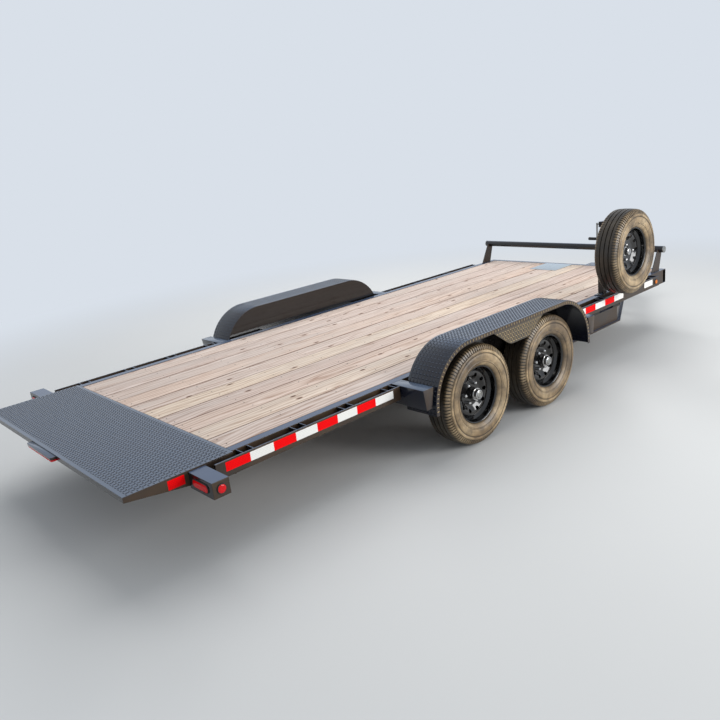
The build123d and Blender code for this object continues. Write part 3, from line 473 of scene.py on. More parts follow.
# Moulded rubber: near black where the road wipes it, golden brown with dust on the walls. An attribute set on
# each tyre's points gives the dust share together with painted shade in the notches and grooves and painted
# highlights on the raised rings; clouds of two sizes break it up.
def dustyRubber():
    finish, tree, shader, place = newFinish("dustyTyreRubber", "#191817")
    dustAndPaintedLight = addNode(tree, "Attribute", attribute_name="dustAndPaintedLight")["Fac"]
    cloud = addNode(tree, "TexNoise", {"Vector": place},
                    {"Scale": 1 / (75 * mm), "Detail": 8.0, "Roughness": 0.7})
    spread = addNode(tree, "MapRange", {"Value": cloud},
                     {"From Min": 0.3, "From Max": 0.68, "To Min": 0.3, "To Max": 1.1})
    share = addNode(tree, "Math", {0: dustAndPaintedLight, 1: spread}, operation="MULTIPLY", use_clamp=True)
    smudge = addNode(tree, "TexNoise", {"Vector": place},
                     {"Scale": 1 / (240 * mm), "Detail": 4.0, "Roughness": 0.6})
    soil = addNode(tree, "ValToRGB", {"Fac": smudge})
    soilTint = setRamp(soil, [(0.32, "#69563f"), (0.5, "#a08764"), (0.66, "#d2b890")])
    tint = addNode(tree, "MixRGB", {"Fac": share, "Color2": soilTint}, {"Color1": "#191817"})
    shine = addNode(tree, "MapRange", {"Value": share}, {"To Min": 0.38, "To Max": 0.42})
    grain = addNode(tree, "TexNoise", {"Vector": place}, {"Scale": 1 / (4 * mm), "Detail": 3.0})
    bump = addNode(tree, "Bump", {"Height": grain}, {"Strength": 0.15, "Distance": 0.3 * mm})
    plugIn(tree, shader, {"Base Color": tint, "Roughness": shine, "Normal": bump})
    return finish


tyreRubber = dustyRubber()


# Moulded rubber of pads and grommets: matt, charcoal, finely pitted.
def moulded(name, colour, roughness, pitSize, strength):
    finish, tree, shader, place = newFinish(name, colour, Roughness=roughness)
    pits = addNode(tree, "TexNoise", {"Vector": place}, {"Scale": 1 / pitSize, "Detail": 3.0})
    shade = addNode(tree, "MixRGB", {"Fac": pits}, {"Color1": colour, "Color2": "#2c2a28"})
    bump = addNode(tree, "Bump", {"Height": pits}, {"Strength": strength, "Distance": 0.4 * mm})
    plugIn(tree, shader, {"Base Color": shade, "Normal": bump})
    return finish


padRubber = moulded("mouldedRubber", "#161616", 0.75, 2 * mm, 0.3)


# Acrylic lens: clear colour with a pressed pattern of small lenses behind a polished face.
def acrylicLens(name, colour, deep, pitch):
    finish, tree, shader, place = newFinish(name, colour, Roughness=0.1, IOR=1.35)
    cells = addNode(tree, "TexVoronoi", {"Vector": place}, {"Scale": 1 / pitch, "Randomness": 0.0})
    tint = addNode(tree, "MixRGB", {"Fac": cells}, {"Color1": colour, "Color2": deep})
    bump = addNode(tree, "Bump", {"Height": cells}, {"Strength": 0.35, "Distance": 1.5 * mm})
    plugIn(tree, shader, {"Base Color": tint, "Normal": bump})
    return finish


redLens = acrylicLens("redAcrylicLens", "#f4121b", "#ad070e", 9 * mm)
amberLens = acrylicLens("amberAcrylicLens", "#f08a1c", "#a34a05", 9 * mm)


# Prismatic marking tape: a bright film with a fine sealed honeycomb.
def prismTape(name, colour, seam, cell):
    finish, tree, shader, place = newFinish(name, colour, Roughness=0.5)
    shader.inputs["Specular IOR Level"].default_value = 0.06
    edges = addNode(tree, "TexVoronoi", {"Vector": place}, {"Scale": 1 / cell, "Randomness": 0.25},
                    feature="DISTANCE_TO_EDGE")
    line = addNode(tree, "MapRange", {"Value": edges}, {"From Max": 0.12, "To Min": 1.0, "To Max": 0.0})
    tint = addNode(tree, "MixRGB", {"Fac": line}, {"Color1": colour, "Color2": seam})
    plugIn(tree, shader, {"Base Color": tint})
    return finish


redTape = prismTape("redMarkingTape", "#fb060c", "#d6050a", 9 * mm)
whiteTape = prismTape("whiteMarkingTape", "#f1efe9", "#d8d6d1", 9 * mm)
print("finishes mixed")

# The CAD nodes take the finish of their slot
slotFinish = {"frame_paint": frameEnamel, "tread_plate": treadEnamel, "deck_wood": pine,
              "tyre_rubber": tyreRubber, "rim_paint": wheelEnamel, "hub_iron": hubIron, "red_lens": redLens,
              "amber_lens": amberLens, "bare_steel": zincPlate, "spring_steel": springEnamel,
              "pad_rubber": padRubber, "rod_chrome": rodChrome}
for row in frame["record"]["subparts"]:
    data = nodes[row["node"]].data
    data.materials.clear()
    data.materials.append(slotFinish[row["material_slot"]])
nodes["cover_plate"].data.materials[0] = sheetSteel
nodes["fender_valances"].data.materials[0] = dustySunlitTreadEnamel
nodes["fender_panels"].data.materials[0] = panelEnamel

# and eased edges that catch the light, thinner on sheet
easing = dict(weld=0.02 * mm, flat=math.radians(0.5), segments=2, angle=math.radians(35), width=2.0 * mm,
              thin={"tread_plate": 0.8 * mm, "bare_steel": 1.0 * mm, "spring_steel": 1.0 * mm})
for row in frame["record"]["subparts"]:
    node = nodes[row["node"]]
    weld = node.modifiers.new("weld", "WELD")
    weld.merge_threshold = easing["weld"]
    flat = node.modifiers.new("flat", "DECIMATE")
    flat.decimate_type = "DISSOLVE"
    flat.angle_limit = easing["flat"]
    ease = node.modifiers.new("ease", "BEVEL")
    ease.width = easing["thin"].get(row["material_slot"], easing["width"])
    ease.segments = easing["segments"]
    ease.limit_method = "ANGLE"
    ease.angle_limit = easing["angle"]

# Floor, sky and lamps: the floor fades far out into the pale sky that the camera and mirrors see
studio = dict(floorHalf=60.0, floorColour="#d0d0ce", floorShade="#cbcbc9", fadeFrom=3.6, fadeTo=7.5,
              skyColour="#d9e0e9", skyGlow=1.0, skyStrength=0.7,
              lamps=[  # name, place, target, size, watts, seen in mirrors
                  ("topSoftbox", (0.4, 1.0, 7.5), (0.4, 0.0, 0.4), 7.0, 320, False),
                  ("keySoftbox", (4.0, 5.0, 6.0), (0.3, 0.0, 0.5), 3.0, 180, False),
                  ("sideSoftbox", (2.6, -8.0, 2.8), (-0.3, -1.0, 0.4), 4.0, 480, True)])


def seenDirectly(tree):
    # one for rays from the camera, mirrors and clear parts, none for the light that spreads
    rays = addNode(tree, "LightPath")
    both = addNode(tree, "Math", {0: rays["Is Camera Ray"], 1: rays["Is Glossy Ray"]}, operation="ADD")
    return addNode(tree, "Math", {0: both, 1: rays["Is Transmission Ray"]}, operation="ADD", use_clamp=True)


floor = startPiece("studioFloor", "plane", size=2 * studio["floorHalf"])
floorFinish, floorTree, floorShader, floorPlace = newFinish("palePaintedFloor", studio["floorColour"],
                                                            Roughness=0.8)
floorShader.inputs["Specular IOR Level"].default_value = 0.2
floorCloud = addNode(floorTree, "TexNoise", {"Vector": floorPlace}, {"Scale": 0.6, "Detail": 3.0})
floorTint = addNode(floorTree, "MixRGB", {"Fac": floorCloud},
                    {"Color1": studio["floorColour"],
                     "Color2": studio["floorShade"]})
plugIn(floorTree, floorShader, {"Base Color": floorTint})
floorReach = addNode(floorTree, "VectorMath", {0: floorPlace}, operation="LENGTH")["Value"]
floorFade = addNode(floorTree, "MapRange", {"Value": floorReach},
                    {"From Min": studio["fadeFrom"], "From Max": studio["fadeTo"]},
                    interpolation_type="SMOOTHSTEP")
floorShare = addNode(floorTree, "Math", {0: floorFade, 1: seenDirectly(floorTree)}, operation="MULTIPLY")
floorGlow = addNode(floorTree, "Emission", values={"Color": studio["skyColour"],
                                                   "Strength": studio["skyGlow"]})
floorMix = addNode(floorTree, "MixShader", {"Fac": floorShare, 1: floorShader.outputs["BSDF"], 2: floorGlow})
plugIn(floorTree, floorTree.nodes["Material Output"], {"Surface": floorMix})
floor.data.materials.append(floorFinish)
floor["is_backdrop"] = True
world = bpy.data.worlds.new("paleSky")
bpy.context.scene.world = world
world.use_nodes = True
skyNode = world.node_tree.nodes["Background"]
skyNode.inputs["Color"].default_value = linearColour(studio["skyColour"])
skyLevel = addNode(world.node_tree, "MapRange", {"Value": seenDirectly(world.node_tree)},
                   {"To Min": studio["skyStrength"], "To Max": studio["skyGlow"]})
plugIn(world.node_tree, skyNode, {"Strength": skyLevel})
for lampName, place, target, size, watts, mirrored in studio["lamps"]:
    lampData = bpy.data.lights.new(lampName, "AREA")
    lampData.size, lampData.energy = size, watts
    lamp = bpy.data.objects.new(lampName, lampData)
    bpy.context.scene.collection.objects.link(lamp)
    lamp.visible_glossy = mirrored
    aim = (Vector(target) - Vector(place)).to_track_quat("-Z", "Y")
    lamp.matrix_world = Matrix.Translation(place) @ aim.to_matrix().to_4x4()
print("studio set")


def facing(place, outward, along):
    # from a shape lying on XY to a face: its Z turned outward and its Y along the face
    outward, along = Vector(outward).normalized(), Vector(along).normalized()
    turn = Matrix((along.cross(outward), along, outward)).transposed().to_4x4()
    return Matrix.Translation(place) @ turn


# Deck boards, each a little higher or lower than the next, with a row of screws at every cross member
boardMiddles = [deckLow.y + boardHalf + i * boardPitch for i in range(deck["count"])]
board = blockPiece("deckBoard", (deckLow.x, -boardHalf, deckLow.z), (deckHigh.x, boardHalf, deckHigh.z),
                   deck["edge"])
boards = scatter("deckBoards", board, [Matrix.Translation((0, y, -sink * mm))
                                       for y, sink in zip(boardMiddles, deck["sink"])])
finishPiece(boards, pine, "bed", ["deck_planks"])

screw = rodPiece("deckScrew", 10, deck["screwRadius"], -deck["screwHeight"] / 2, deck["screwHeight"] / 2)
enterEdit(screw)
pickTop()
bpy.ops.mesh.inset(thickness=deck["screwChamfer"][0], depth=deck["screwChamfer"][1])
bpy.ops.mesh.inset(thickness=deck["screwRecess"][0])
extrudeBy((0, 0, deck["screwRecess"][1]))
leaveEdit()
crossLow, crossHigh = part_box("cross_members")
crossFirst, crossLast = crossLow.x + deck["crossWidth"] / 2, crossHigh.x - deck["crossWidth"] / 2
crossStations = [crossFirst + (crossLast - crossFirst) * i / (deck["crossCount"] - 1)
                 for i in range(deck["crossCount"])]
screwPlaces = [Matrix.Translation((x, y + reach, deckHigh.z - sink * mm))
               for x in crossStations for y, sink in zip(boardMiddles, deck["sink"])
               for reach in (deck["screwInset"] - boardHalf, boardHalf - deck["screwInset"])]
screws = scatter("deckScrews", screw, screwPlaces)
finishPiece(screws, springEnamel, "bed")
print("deck laid")

# Tread plate: raised lugs, lying across and along by turns, on the tail, the fender tops, lips and valances
tread = dict(pitch=29 * mm, length=24 * mm, width=8.5 * mm, height=2.2 * mm, topLength=0.66, topWidth=0.36,
             tailMargin=16 * mm, lipInset=14 * mm, lipShare=0.82, fenderRadius=360 * mm)
pitch = tread["pitch"]


def treadLug(name, share=1.0):
    lug = startPiece(name, "cylinder", vertices=8, radius=1, depth=1)
    lug.scale = (share * tread["length"] / 2, share * tread["width"] / 2, tread["height"])
    lug.location.z = tread["height"] / 2
    settle(lug)
    enterEdit(lug)
    pickTop()
    bpy.ops.transform.resize(value=(tread["topLength"], tread["topWidth"], 1),
                             center_override=(0, 0, tread["height"]))
    pick("FACE", lambda middle, normal: normal.z < -0.9)
    bpy.ops.mesh.delete(type="FACE")
    leaveEdit()
    return lug


def lugTurn(quarters):
    return Matrix.Rotation(quarters * math.pi / 2, 4, "Z")


tailLow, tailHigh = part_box("tail_plate")
tailTread = scatter("tailTread", treadLug("tailLug"),
                    [lugTurn(1), Matrix.Translation((pitch / 2, pitch / 2, 0))])
for axis in (0, 1):
    room = tailHigh[axis] - tailLow[axis] - 2 * tread["tailMargin"] - pitch / 2
    step = [0, 0, 0]
    step[axis] = pitch
    applyModifier(tailTread, "ARRAY", count=int(room / pitch) + 1, use_relative_offset=False,
                  use_constant_offset=True, constant_offset_displace=step)
    tailTread.location[axis] = tailLow[axis] + tread["tailMargin"] + (room % pitch) / 2
tailTread.location.z = tailHigh.z
settle(tailTread)
finishPiece(tailTread, treadEnamel, "bed")


def archFrame(side, distance, inset=0.0):
    # place and directions on the outside of a fender's arch, measured along it from its rear lower edge
    low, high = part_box("fender_" + side)
    radius = tread["fenderRadius"]
    upright = high.z - radius - low.z
    arc = radius * math.pi / 2
    flat = high.x - low.x - 2 * radius
    if distance < upright:
        point, normal = Vector((low.x, 0, low.z + distance)), Vector((-1, 0, 0))
    elif distance < upright + arc:
        angle = math.pi - (distance - upright) / radius
        normal = Vector((math.cos(angle), 0, math.sin(angle)))
        point = Vector((low.x + radius, 0, high.z - radius)) + radius * normal
    elif distance < upright + arc + flat:
        point, normal = Vector((low.x + radius + distance - upright - arc, 0, high.z)), Vector((0, 0, 1))
    elif distance < upright + 2 * arc + flat:
        angle = math.pi / 2 - (distance - upright - arc - flat) / radius
        normal = Vector((math.cos(angle), 0, math.sin(angle)))
        point = Vector((high.x - radius, 0, high.z - radius)) + radius * normal
    else:
        point = Vector((high.x, 0, high.z - radius - (distance - upright - 2 * arc - flat)))
        normal = Vector((1, 0, 0))
    return point - inset * normal, normal


fenderLow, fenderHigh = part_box("fender_left")
archLength = (2 * (fenderHigh.z - tread["fenderRadius"] - fenderLow.z) + math.pi * tread["fenderRadius"]
              + fenderHigh.x - fenderLow.x - 2 * tread["fenderRadius"])
valanceLow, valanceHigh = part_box("fender_valances")
valanceShape = dict(topHalf=320 * mm, bottomHalf=110 * mm, lip=28 * mm, margin=12 * mm, columns=30, rows=13)
for side, sign in sides.items():
    low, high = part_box("fender_" + side)
    middleY, outerY = (low.y + high.y) / 2, sign * max(abs(low.y), abs(high.y))
    acrossCount = int((high.y - low.y - tread["width"]) / pitch)
    rowStart = -pitch * (acrossCount - 0.5) / 2
    places, lipPlaces = [], []
    for i in range(int((archLength - pitch / 2) / (pitch / 2))):
        point, normal = archFrame(side, (i + 1) * pitch / 2)
        for j in range(acrossCount):
            place = point + Vector((0, middleY + rowStart + (j + 0.5 * (i % 2)) * pitch, 0))
            places.append(facing(place, normal, (0, 1, 0)) @ lugTurn(1 - i % 2))
    for i in range(int((archLength - pitch) / pitch)):
        point, normal = archFrame(side, (i + 1) * pitch, tread["lipInset"])
        lipPlaces.append(facing(point + Vector((0, outerY, 0)), (0, sign, 0), normal) @ lugTurn(1))
    valanceY = sign * valanceHigh.y
    middleX = (valanceLow.x + valanceHigh.x) / 2
    rise = valanceHigh.z - valanceLow.z
    for i in range(-valanceShape["columns"], valanceShape["columns"] + 1):
        for j in range(1, valanceShape["rows"] + 1):
            z = valanceHigh.z - valanceShape["lip"] - valanceShape["margin"] / 2 - (j - 0.5) * pitch / 2
            x = middleX + (i + 0.5 * (j % 2)) * pitch
            half = (valanceShape["bottomHalf"] + (valanceShape["topHalf"] - valanceShape["bottomHalf"])
                    * (z - valanceLow.z) / rise)
            if abs(x - middleX) < half - valanceShape["margin"] and z > valanceLow.z + valanceShape["margin"]:
                lipPlaces.append(facing((x, valanceY, z), (0, sign, 0), (0, 0, 1)) @ lugTurn(1 - j % 2))
    fenderTread = scatter("fenderTread_" + side, treadLug("fenderLug"), places)
    finishPiece(fenderTread, treadEnamel, "bed")
    lipTread = scatter("lipTread_" + side, treadLug("lipLug", tread["lipShare"]), lipPlaces)
    finishPiece(lipTread, goldLugEnamel, "bed")
print("tread plate raised")

# Tyres: ribs with zigzag grooves, notched shoulders, a scuff ring, a plain wall and a rim guard; one pitch is
# drawn across, turned a step, notched and copied round
tyre = dict(pitches=96, landShare=0.64, notchDepth=4 * mm, notchFrom=58, notchRadius=304, notchSlope=0.8,
            zigzag=1.6 * mm, zigzagFloor=330, zigzagBand=(2, 45), nearStep=0.1,
            half=[(0, 335), (3.4, 335), (4.4, 344), (19, 344), (33, 343.4), (34, 334.8), (40.6, 334.6),
                  (41.6, 342.8), (60, 341.6), (72, 339.8), (80, 336.5), (86, 330.5), (90, 322), (93, 313),
                  (95.2, 307), (97.6, 304.4), (101.4, 302), (103.2, 298), (103.4, 291), (102.4, 287),
                  (99, 284.6), (98.6, 280.6), (101.6, 277.6), (104.2, 272), (105, 261), (104, 246),
                  (101.6, 235.6), (100.2, 233.2), (101.8, 231), (102, 227.6), (99.2, 224.8), (97, 221),
                  (95.6, 217), (91, 209.6), (87, 203), (82.4, 198.8), (78.4, 197.4), (75.6, 196.4), (74, 193),
                  (72.4, 190.3)],
            liner=[(60, 190.3), (68, 214), (94, 262), (80, 312), (0, 322)])
# share of dust on each band of the tyre, with painted shade near black in the notches and in dark rings in
# the grooves, painted highlights as pale rings on the raised ribs, and darker towards the bead
tyreDustAndPaintedLight = dict(paintedNotchShade=0.04, notchClear=2, crown=0.1, shoulder=0.55, shoulderFrom=66, shoulderRun=14,
                wall=0.9, beadDarkening=0.3, beadFrom=212, beadRun=12, pale=0.12,
                paintedHighlightRings=[(288, 303), (227, 232)], dark=0.3,
                paintedShadeRings=[(279, 286), (232.5, 234), (224, 226)])
tyreOuter = [(-y, r) for y, r in reversed(tyre["half"])] + tyre["half"][1:]
tyreInner = tyre["liner"] + [(-y, r) for y, r in reversed(tyre["liner"][:-1])]
tyreStep = math.tau / tyre["pitches"]
tyrePiece = drawProfile("roadTyre", tyreOuter + tyreInner + tyreOuter[:1])
bpy.ops.mesh.remove_doubles(threshold=0.02 * mm)
bpy.ops.mesh.spin(steps=1, angle=tyreStep * tyre["landShare"], center=(0, 0, 0), axis=(0, 1, 0))
bpy.ops.mesh.spin(steps=1, angle=tyreStep * (1 - tyre["landShare"]), center=(0, 0, 0), axis=(0, 1, 0))
spinAngles = sorted({round(math.atan2(v.co.x, v.co.z), 4)
                     for v in bmesh.from_edit_mesh(tyrePiece.data).verts}, key=abs)
landAngle, endAngle = spinAngles[1], spinAngles[2]


def angleOf(point):
    return math.atan2(point.x, point.z)


def atLand(point):
    return abs(angleOf(point) - landAngle) < tyreStep * tyre["nearStep"]


def radiusOf(point):
    return math.hypot(point.x, point.z) / mm


bandFrom, bandTo = tyre["zigzagBand"]
pick("VERT", lambda p: atLand(p) and radiusOf(p) > tyre["zigzagFloor"] and bandFrom < abs(p.y) / mm < bandTo)
bpy.ops.transform.translate(value=(0, tyre["zigzag"], 0))
for end in (1, -1):
    pick("FACE", lambda p, n: (abs(angleOf(p) - (landAngle + endAngle) / 2) < tyreStep * tyre["nearStep"]
                               and end * p.y / mm > tyre["notchFrom"] and radiusOf(p) > tyre["notchRadius"]))
    extrudeBy((0, -end * tyre["notchDepth"], -tyre["notchSlope"] * tyre["notchDepth"]))
bpy.ops.mesh.select_all(action="SELECT")
bpy.ops.mesh.spin(steps=tyre["pitches"] - 1, dupli=True, angle=math.tau - tyreStep, center=(0, 0, 0),
                  axis=(0, 1, 0))
closeTurned()
dustAndLightMap = tyrePiece.data.attributes.new("dustAndPaintedLight", "FLOAT", "POINT")
shoulder = [(y, r) for y, r in tyre["half"] if r > tyre["notchRadius"]]


def landRadius(offset):
    # radius of the unnotched section at an offset from the middle
    for (y0, r0), (y1, r1) in zip(shoulder, shoulder[1:]):
        if y0 <= offset <= y1:
            return r0 + (r1 - r0) * (offset - y0) / (y1 - y0)
    return 0.0


def inRings(radius, rings):
    return any(low < radius < high for low, high in rings)


# notches and grooves take painted shade, raised rings painted highlights
for point, value in zip(tyrePiece.data.vertices, dustAndLightMap.data):
    radius, offset = radiusOf(point.co), abs(point.co.y) / mm
    if radius > tyre["notchRadius"]:
        notched = radius < landRadius(offset) - tyreDustAndPaintedLight["notchClear"]
        bend = min(max((offset - tyreDustAndPaintedLight["shoulderFrom"]) / tyreDustAndPaintedLight["shoulderRun"], 0.0), 1.0)
        value.value = tyreDustAndPaintedLight["paintedNotchShade"] if notched else tyreDustAndPaintedLight["crown"] + tyreDustAndPaintedLight["shoulder"] * bend
    else:
        # darker towards the bead
        loss = min(max((tyreDustAndPaintedLight["beadFrom"] - radius) / tyreDustAndPaintedLight["beadRun"], 0.0), 1.0)
        value.value = tyreDustAndPaintedLight["wall"] - tyreDustAndPaintedLight["beadDarkening"] * loss
        value.value += tyreDustAndPaintedLight["pale"] if inRings(radius, tyreDustAndPaintedLight["paintedHighlightRings"]) else 0.0
        value.value *= tyreDustAndPaintedLight["dark"] if inRings(radius, tyreDustAndPaintedLight["paintedShadeRings"]) else 1.0
wheelSides = {name: sides[name.split("_")[1]] for name in wheelNames}
tyrePlaces = {"tyre_" + name: (wheelSides[name], "wheel_" + name) for name in wheelNames}
tyrePlaces["spare_tyre"] = (-1, "bed")


def fitWheels(source, part, ending, finish):
    # a copy for every wheel and the spare, in place of the CAD node
    for tyreNode, (side, body) in tyrePlaces.items():
        node = tyreNode.replace("tyre", part)
        twin = joinPieces(node + ending, [placeCopy(source, wheelPlace(node, side))])
        finishPiece(twin, finish, body, [node], smoothAngle=40)
    bpy.data.objects.remove(source)


fitWheels(tyrePiece, "tyre", "Rubber", tyreRubber)
print("tyres fitted")

# Wheels: a rolled rim and a pressed disc, turned, with hand holes cut through and their edges eased
wheel = dict(steps=80, holes=10, holeCircle=124 * mm, holeRadius=14.5 * mm, holeEdge=1.2 * mm,
             cutterDepth=0.12, onWall=0.05 * mm, shortEdge=8 * mm, levelShare=0.7,
             lip=[(35, 180.6), (40, 183.4), (68, 184), (73.4, 185.2), (77, 188), (79.2, 190.6), (80, 193),
                  (79.4, 195.4), (77.6, 196.4), (75.6, 195.4), (74.6, 192.4), (70, 190.4), (36, 190),
                  (31, 187)],
             well=[(19, 171), (15, 168.6), (-27, 168.6), (-31, 171)],
             back=[(-45, 181.6), (-34, 165), (-30, 162.6), (18, 162.6), (22, 164.4)],
             disc=[(0, 42.3), (7, 42.3), (8, 43.4), (8, 89.5), (8.7, 93.4), (11.2, 98), (25.2, 118.4),
                   (28.4, 123.4), (30, 129), (30.2, 147), (29.2, 152.4), (26.4, 157), (22.6, 160.6),
                   (18, 163.4), (11, 163.4), (15.6, 159), (19.6, 154), (21.6, 149), (22.2, 144), (22, 131.4),
                   (20.6, 127), (17.6, 122.2), (3.6, 102), (1, 97.4), (0, 92)])
backLip = [(-y, r) for y, r in reversed(wheel["lip"][1:-1])]
section = wheel["lip"] + wheel["well"] + backLip + wheel["back"]
barrel = turnPiece("rimBarrel", section + section[:1], wheel["steps"])
disc = turnPiece("rimDisc", wheel["disc"] + wheel["disc"][:1], wheel["steps"])
holeCutter = startPiece("handHole", "cylinder", vertices=32, radius=wheel["holeRadius"],
                        depth=wheel["cutterDepth"], location=(0, 0, wheel["holeCircle"]),
                        rotation=(math.pi / 2, 0, 0))
settle(holeCutter)
holeTurns = [Matrix.Rotation(math.tau * (i + 0.5) / wheel["holes"], 4, "Y") for i in range(wheel["holes"])]
holeCutter = scatter("handHoles", holeCutter, holeTurns)
applyModifier(disc, "BOOLEAN", object=holeCutter, operation="DIFFERENCE", solver="EXACT")
bpy.data.objects.remove(holeCutter)
holeMiddles = [turn @ Vector((0, 0, wheel["holeCircle"])) for turn in holeTurns]


def onHoleWall(point):
    flat = Vector((point.x, 0, point.z))
    return min(abs((flat - middle).length - wheel["holeRadius"]) for middle in holeMiddles) < wheel["onWall"]


enterEdit(disc, "EDGE")
pick("EDGE", lambda a, b: ((a - b).length < wheel["shortEdge"] and onHoleWall(a) and onHoleWall(b)
                           and abs(a.y - b.y) < wheel["levelShare"] * (a - b).length))
bpy.ops.mesh.bevel(offset=wheel["holeEdge"], segments=2, affect="EDGES", clamp_overlap=True)
leaveEdit()
rimPiece = joinPieces("steelWheel", [barrel, disc])
fitWheels(rimPiece, "rim", "Steel", wheelEnamel)
print("rims turned")

# Wheel fittings: six chrome nuts, the grease cap with its plug, and a valve
fittings = dict(studs=6, studCircle=69.85 * mm, discFace=8 * mm, nutRadius=12.2 * mm, nutHeight=22 * mm,
                valveCircle=146 * mm, valveFace=30 * mm, nutEdge=1.2 * mm,
                nutDomes=[(0.88, 1.2), (0.8, 3.2), (0.68, 2.2), (0.4, 0.8)],
                cap=[(60, 42.4), (62.6, 42.4), (63.4, 41.4), (63.4, 36.6), (66, 35.2), (82, 34.4), (86, 32.6),
                     (88, 29.5), (88.4, 27), (86.8, 25), (83, 24.4), (82.6, 19)],
                plug=[(82, 22), (87.6, 21.4), (88.6, 19.6), (88.6, 12), (87.4, 11), (87.4, 8.6), (89.4, 7),
                      (89.6, 0)],
                valve=[(0, 6), (3, 6), (9, 5), (16, 4.4), (18, 4.2), (32, 4.0), (33.5, 3.2), (33.5, 0)],
                clamp=[(0, 41), (3, 41), (4.6, 39.6), (5, 37), (5, 31.4), (6.4, 30), (33, 29.2), (37, 27.4),
                       (39, 24), (39.4, 19), (38.6, 17), (38.6, 0)])
nut = rodPiece("wheelNut", 6, fittings["nutRadius"], 0, fittings["nutHeight"])
enterEdit(nut, "EDGE")
pick("EDGE", lambda a, b: abs(a.z - b.z) > fittings["nutHeight"] / 2)
easeEdges(fittings["nutEdge"])
pickTop()
for shrink, lift in fittings["nutDomes"]:
    extrudeBy((0, 0, lift * mm))
    bpy.ops.transform.resize(value=(shrink, shrink, 1), center_override=(0, 0, 0))
leaveEdit()
nutPlaces = [Matrix.Rotation(math.tau * (i + 0.5) / fittings["studs"], 4, "Y")
             @ facing((0, fittings["discFace"], fittings["studCircle"]), (0, 1, 0), (0, 0, 1))
             for i in range(fittings["studs"])]
spareSet = joinPieces("spareNutSet", [placeCopy(nut, place) for place in nutPlaces[::2]])
nuts = scatter("wheelNuts", nut, nutPlaces)
cap = turnPiece("greaseCap", fittings["cap"], 48)
plug = turnPiece("capPlug", fittings["plug"], 32)
valve = turnPiece("tyreValve", fittings["valve"], 16)
for name in wheelNames:
    place = wheelPlace("rim_" + name, wheelSides[name])
    valvePlace = place @ Matrix.Translation((fittings["valveCircle"], fittings["valveFace"], 0))
    for title, members, spot, finish, slotName in (
            ("wheelNutsAndCap_", (nuts, cap), place, chrome, "hub_iron"),
            ("wheelCapPlug_", (plug,), place, zincPlate, "hub_iron"),
            ("wheelRubber_", (valve,), valvePlace, padRubber, "pad_rubber")):
        dressed = joinPieces(title + name, [placeCopy(member, spot) for member in members])
        finishPiece(dressed, finish, "wheel_" + name)
sparePlace = wheelPlace("spare_rim", -1)
clamp = turnPiece("spareClamp", fittings["clamp"], 40)
spareNuts = joinPieces("spareNuts", [placeCopy(spareSet, sparePlace), placeCopy(clamp, sparePlace)])
finishPiece(spareNuts, chrome, "bed")
for spent in (nuts, spareSet, cap, plug, valve, clamp):
    bpy.data.objects.remove(spent)
print("wheels dressed")

# Marking tape on the rub rails and the tail: red and white by turns, two inches high
tape = dict(length=152.4 * mm, height=50.8 * mm, thickness=0.6 * mm, edge=0.2 * mm, drop=10 * mm,
            runs=[(529 * mm, "RWRWRWRW"), (3819 * mm, "WRWRW"), (4958 * mm, "W")],
            tailStart=232 * mm, tailEnd=326 * mm, tailDrop=12 * mm)
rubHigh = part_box("rub_rails")[1]
tapeRows = {"R": [], "W": []}
for sign in sides.values():
    for start, pattern in tape["runs"]:
        for i, colour in enumerate(pattern):
            x = tailX + start + i * tape["length"]
            tapeRows[colour].append((x, x + tape["length"], sign * rubHigh.y, rubHigh.z - tape["drop"]))
    tapeRows["R"].append((tailX + tape["tailStart"], tailX + tape["tailEnd"], sign * tailHigh.y,
                          tailHigh.z - tape["tailDrop"]))
for colour, name, finish in (("R", "markingTapeRed", redTape), ("W", "markingTapeWhite", whiteTape)):
    strips = []
    for x0, x1, face, top in tapeRows[colour]:
        outer = face + math.copysign(tape["thickness"], face)
        strips.append(blockPiece("tapeStrip", (x0, min(face, outer), top - tape["height"]),
                                 (x1, max(face, outer), top), tape["edge"], 1))
    finishPiece(joinPieces(name, strips), finish, "bed")
print("tape laid")


# Lamps: a domed lens in a rubber grommet
def lampPiece(name, radius, stretch, wall, domes):
    piece = startPiece(name, "circle", vertices=48, radius=radius, fill_type="NGON")
    enterEdit(piece)
    for end in (1, -1):
        pick("VERT", lambda p: p.y * end > 0.1 * mm)
        bpy.ops.transform.translate(value=(0, end * stretch / 2, 0))
    pick("FACE", lambda middle, normal: True)
    extrudeBy((0, 0, wall))
    for inset, lift in domes:
        bpy.ops.mesh.inset(thickness=inset * mm, depth=lift * mm)
    bpy.ops.mesh.select_all(action="SELECT")
    bpy.ops.mesh.normals_make_consistent(inside=False)
    leaveEdit()
    return piece


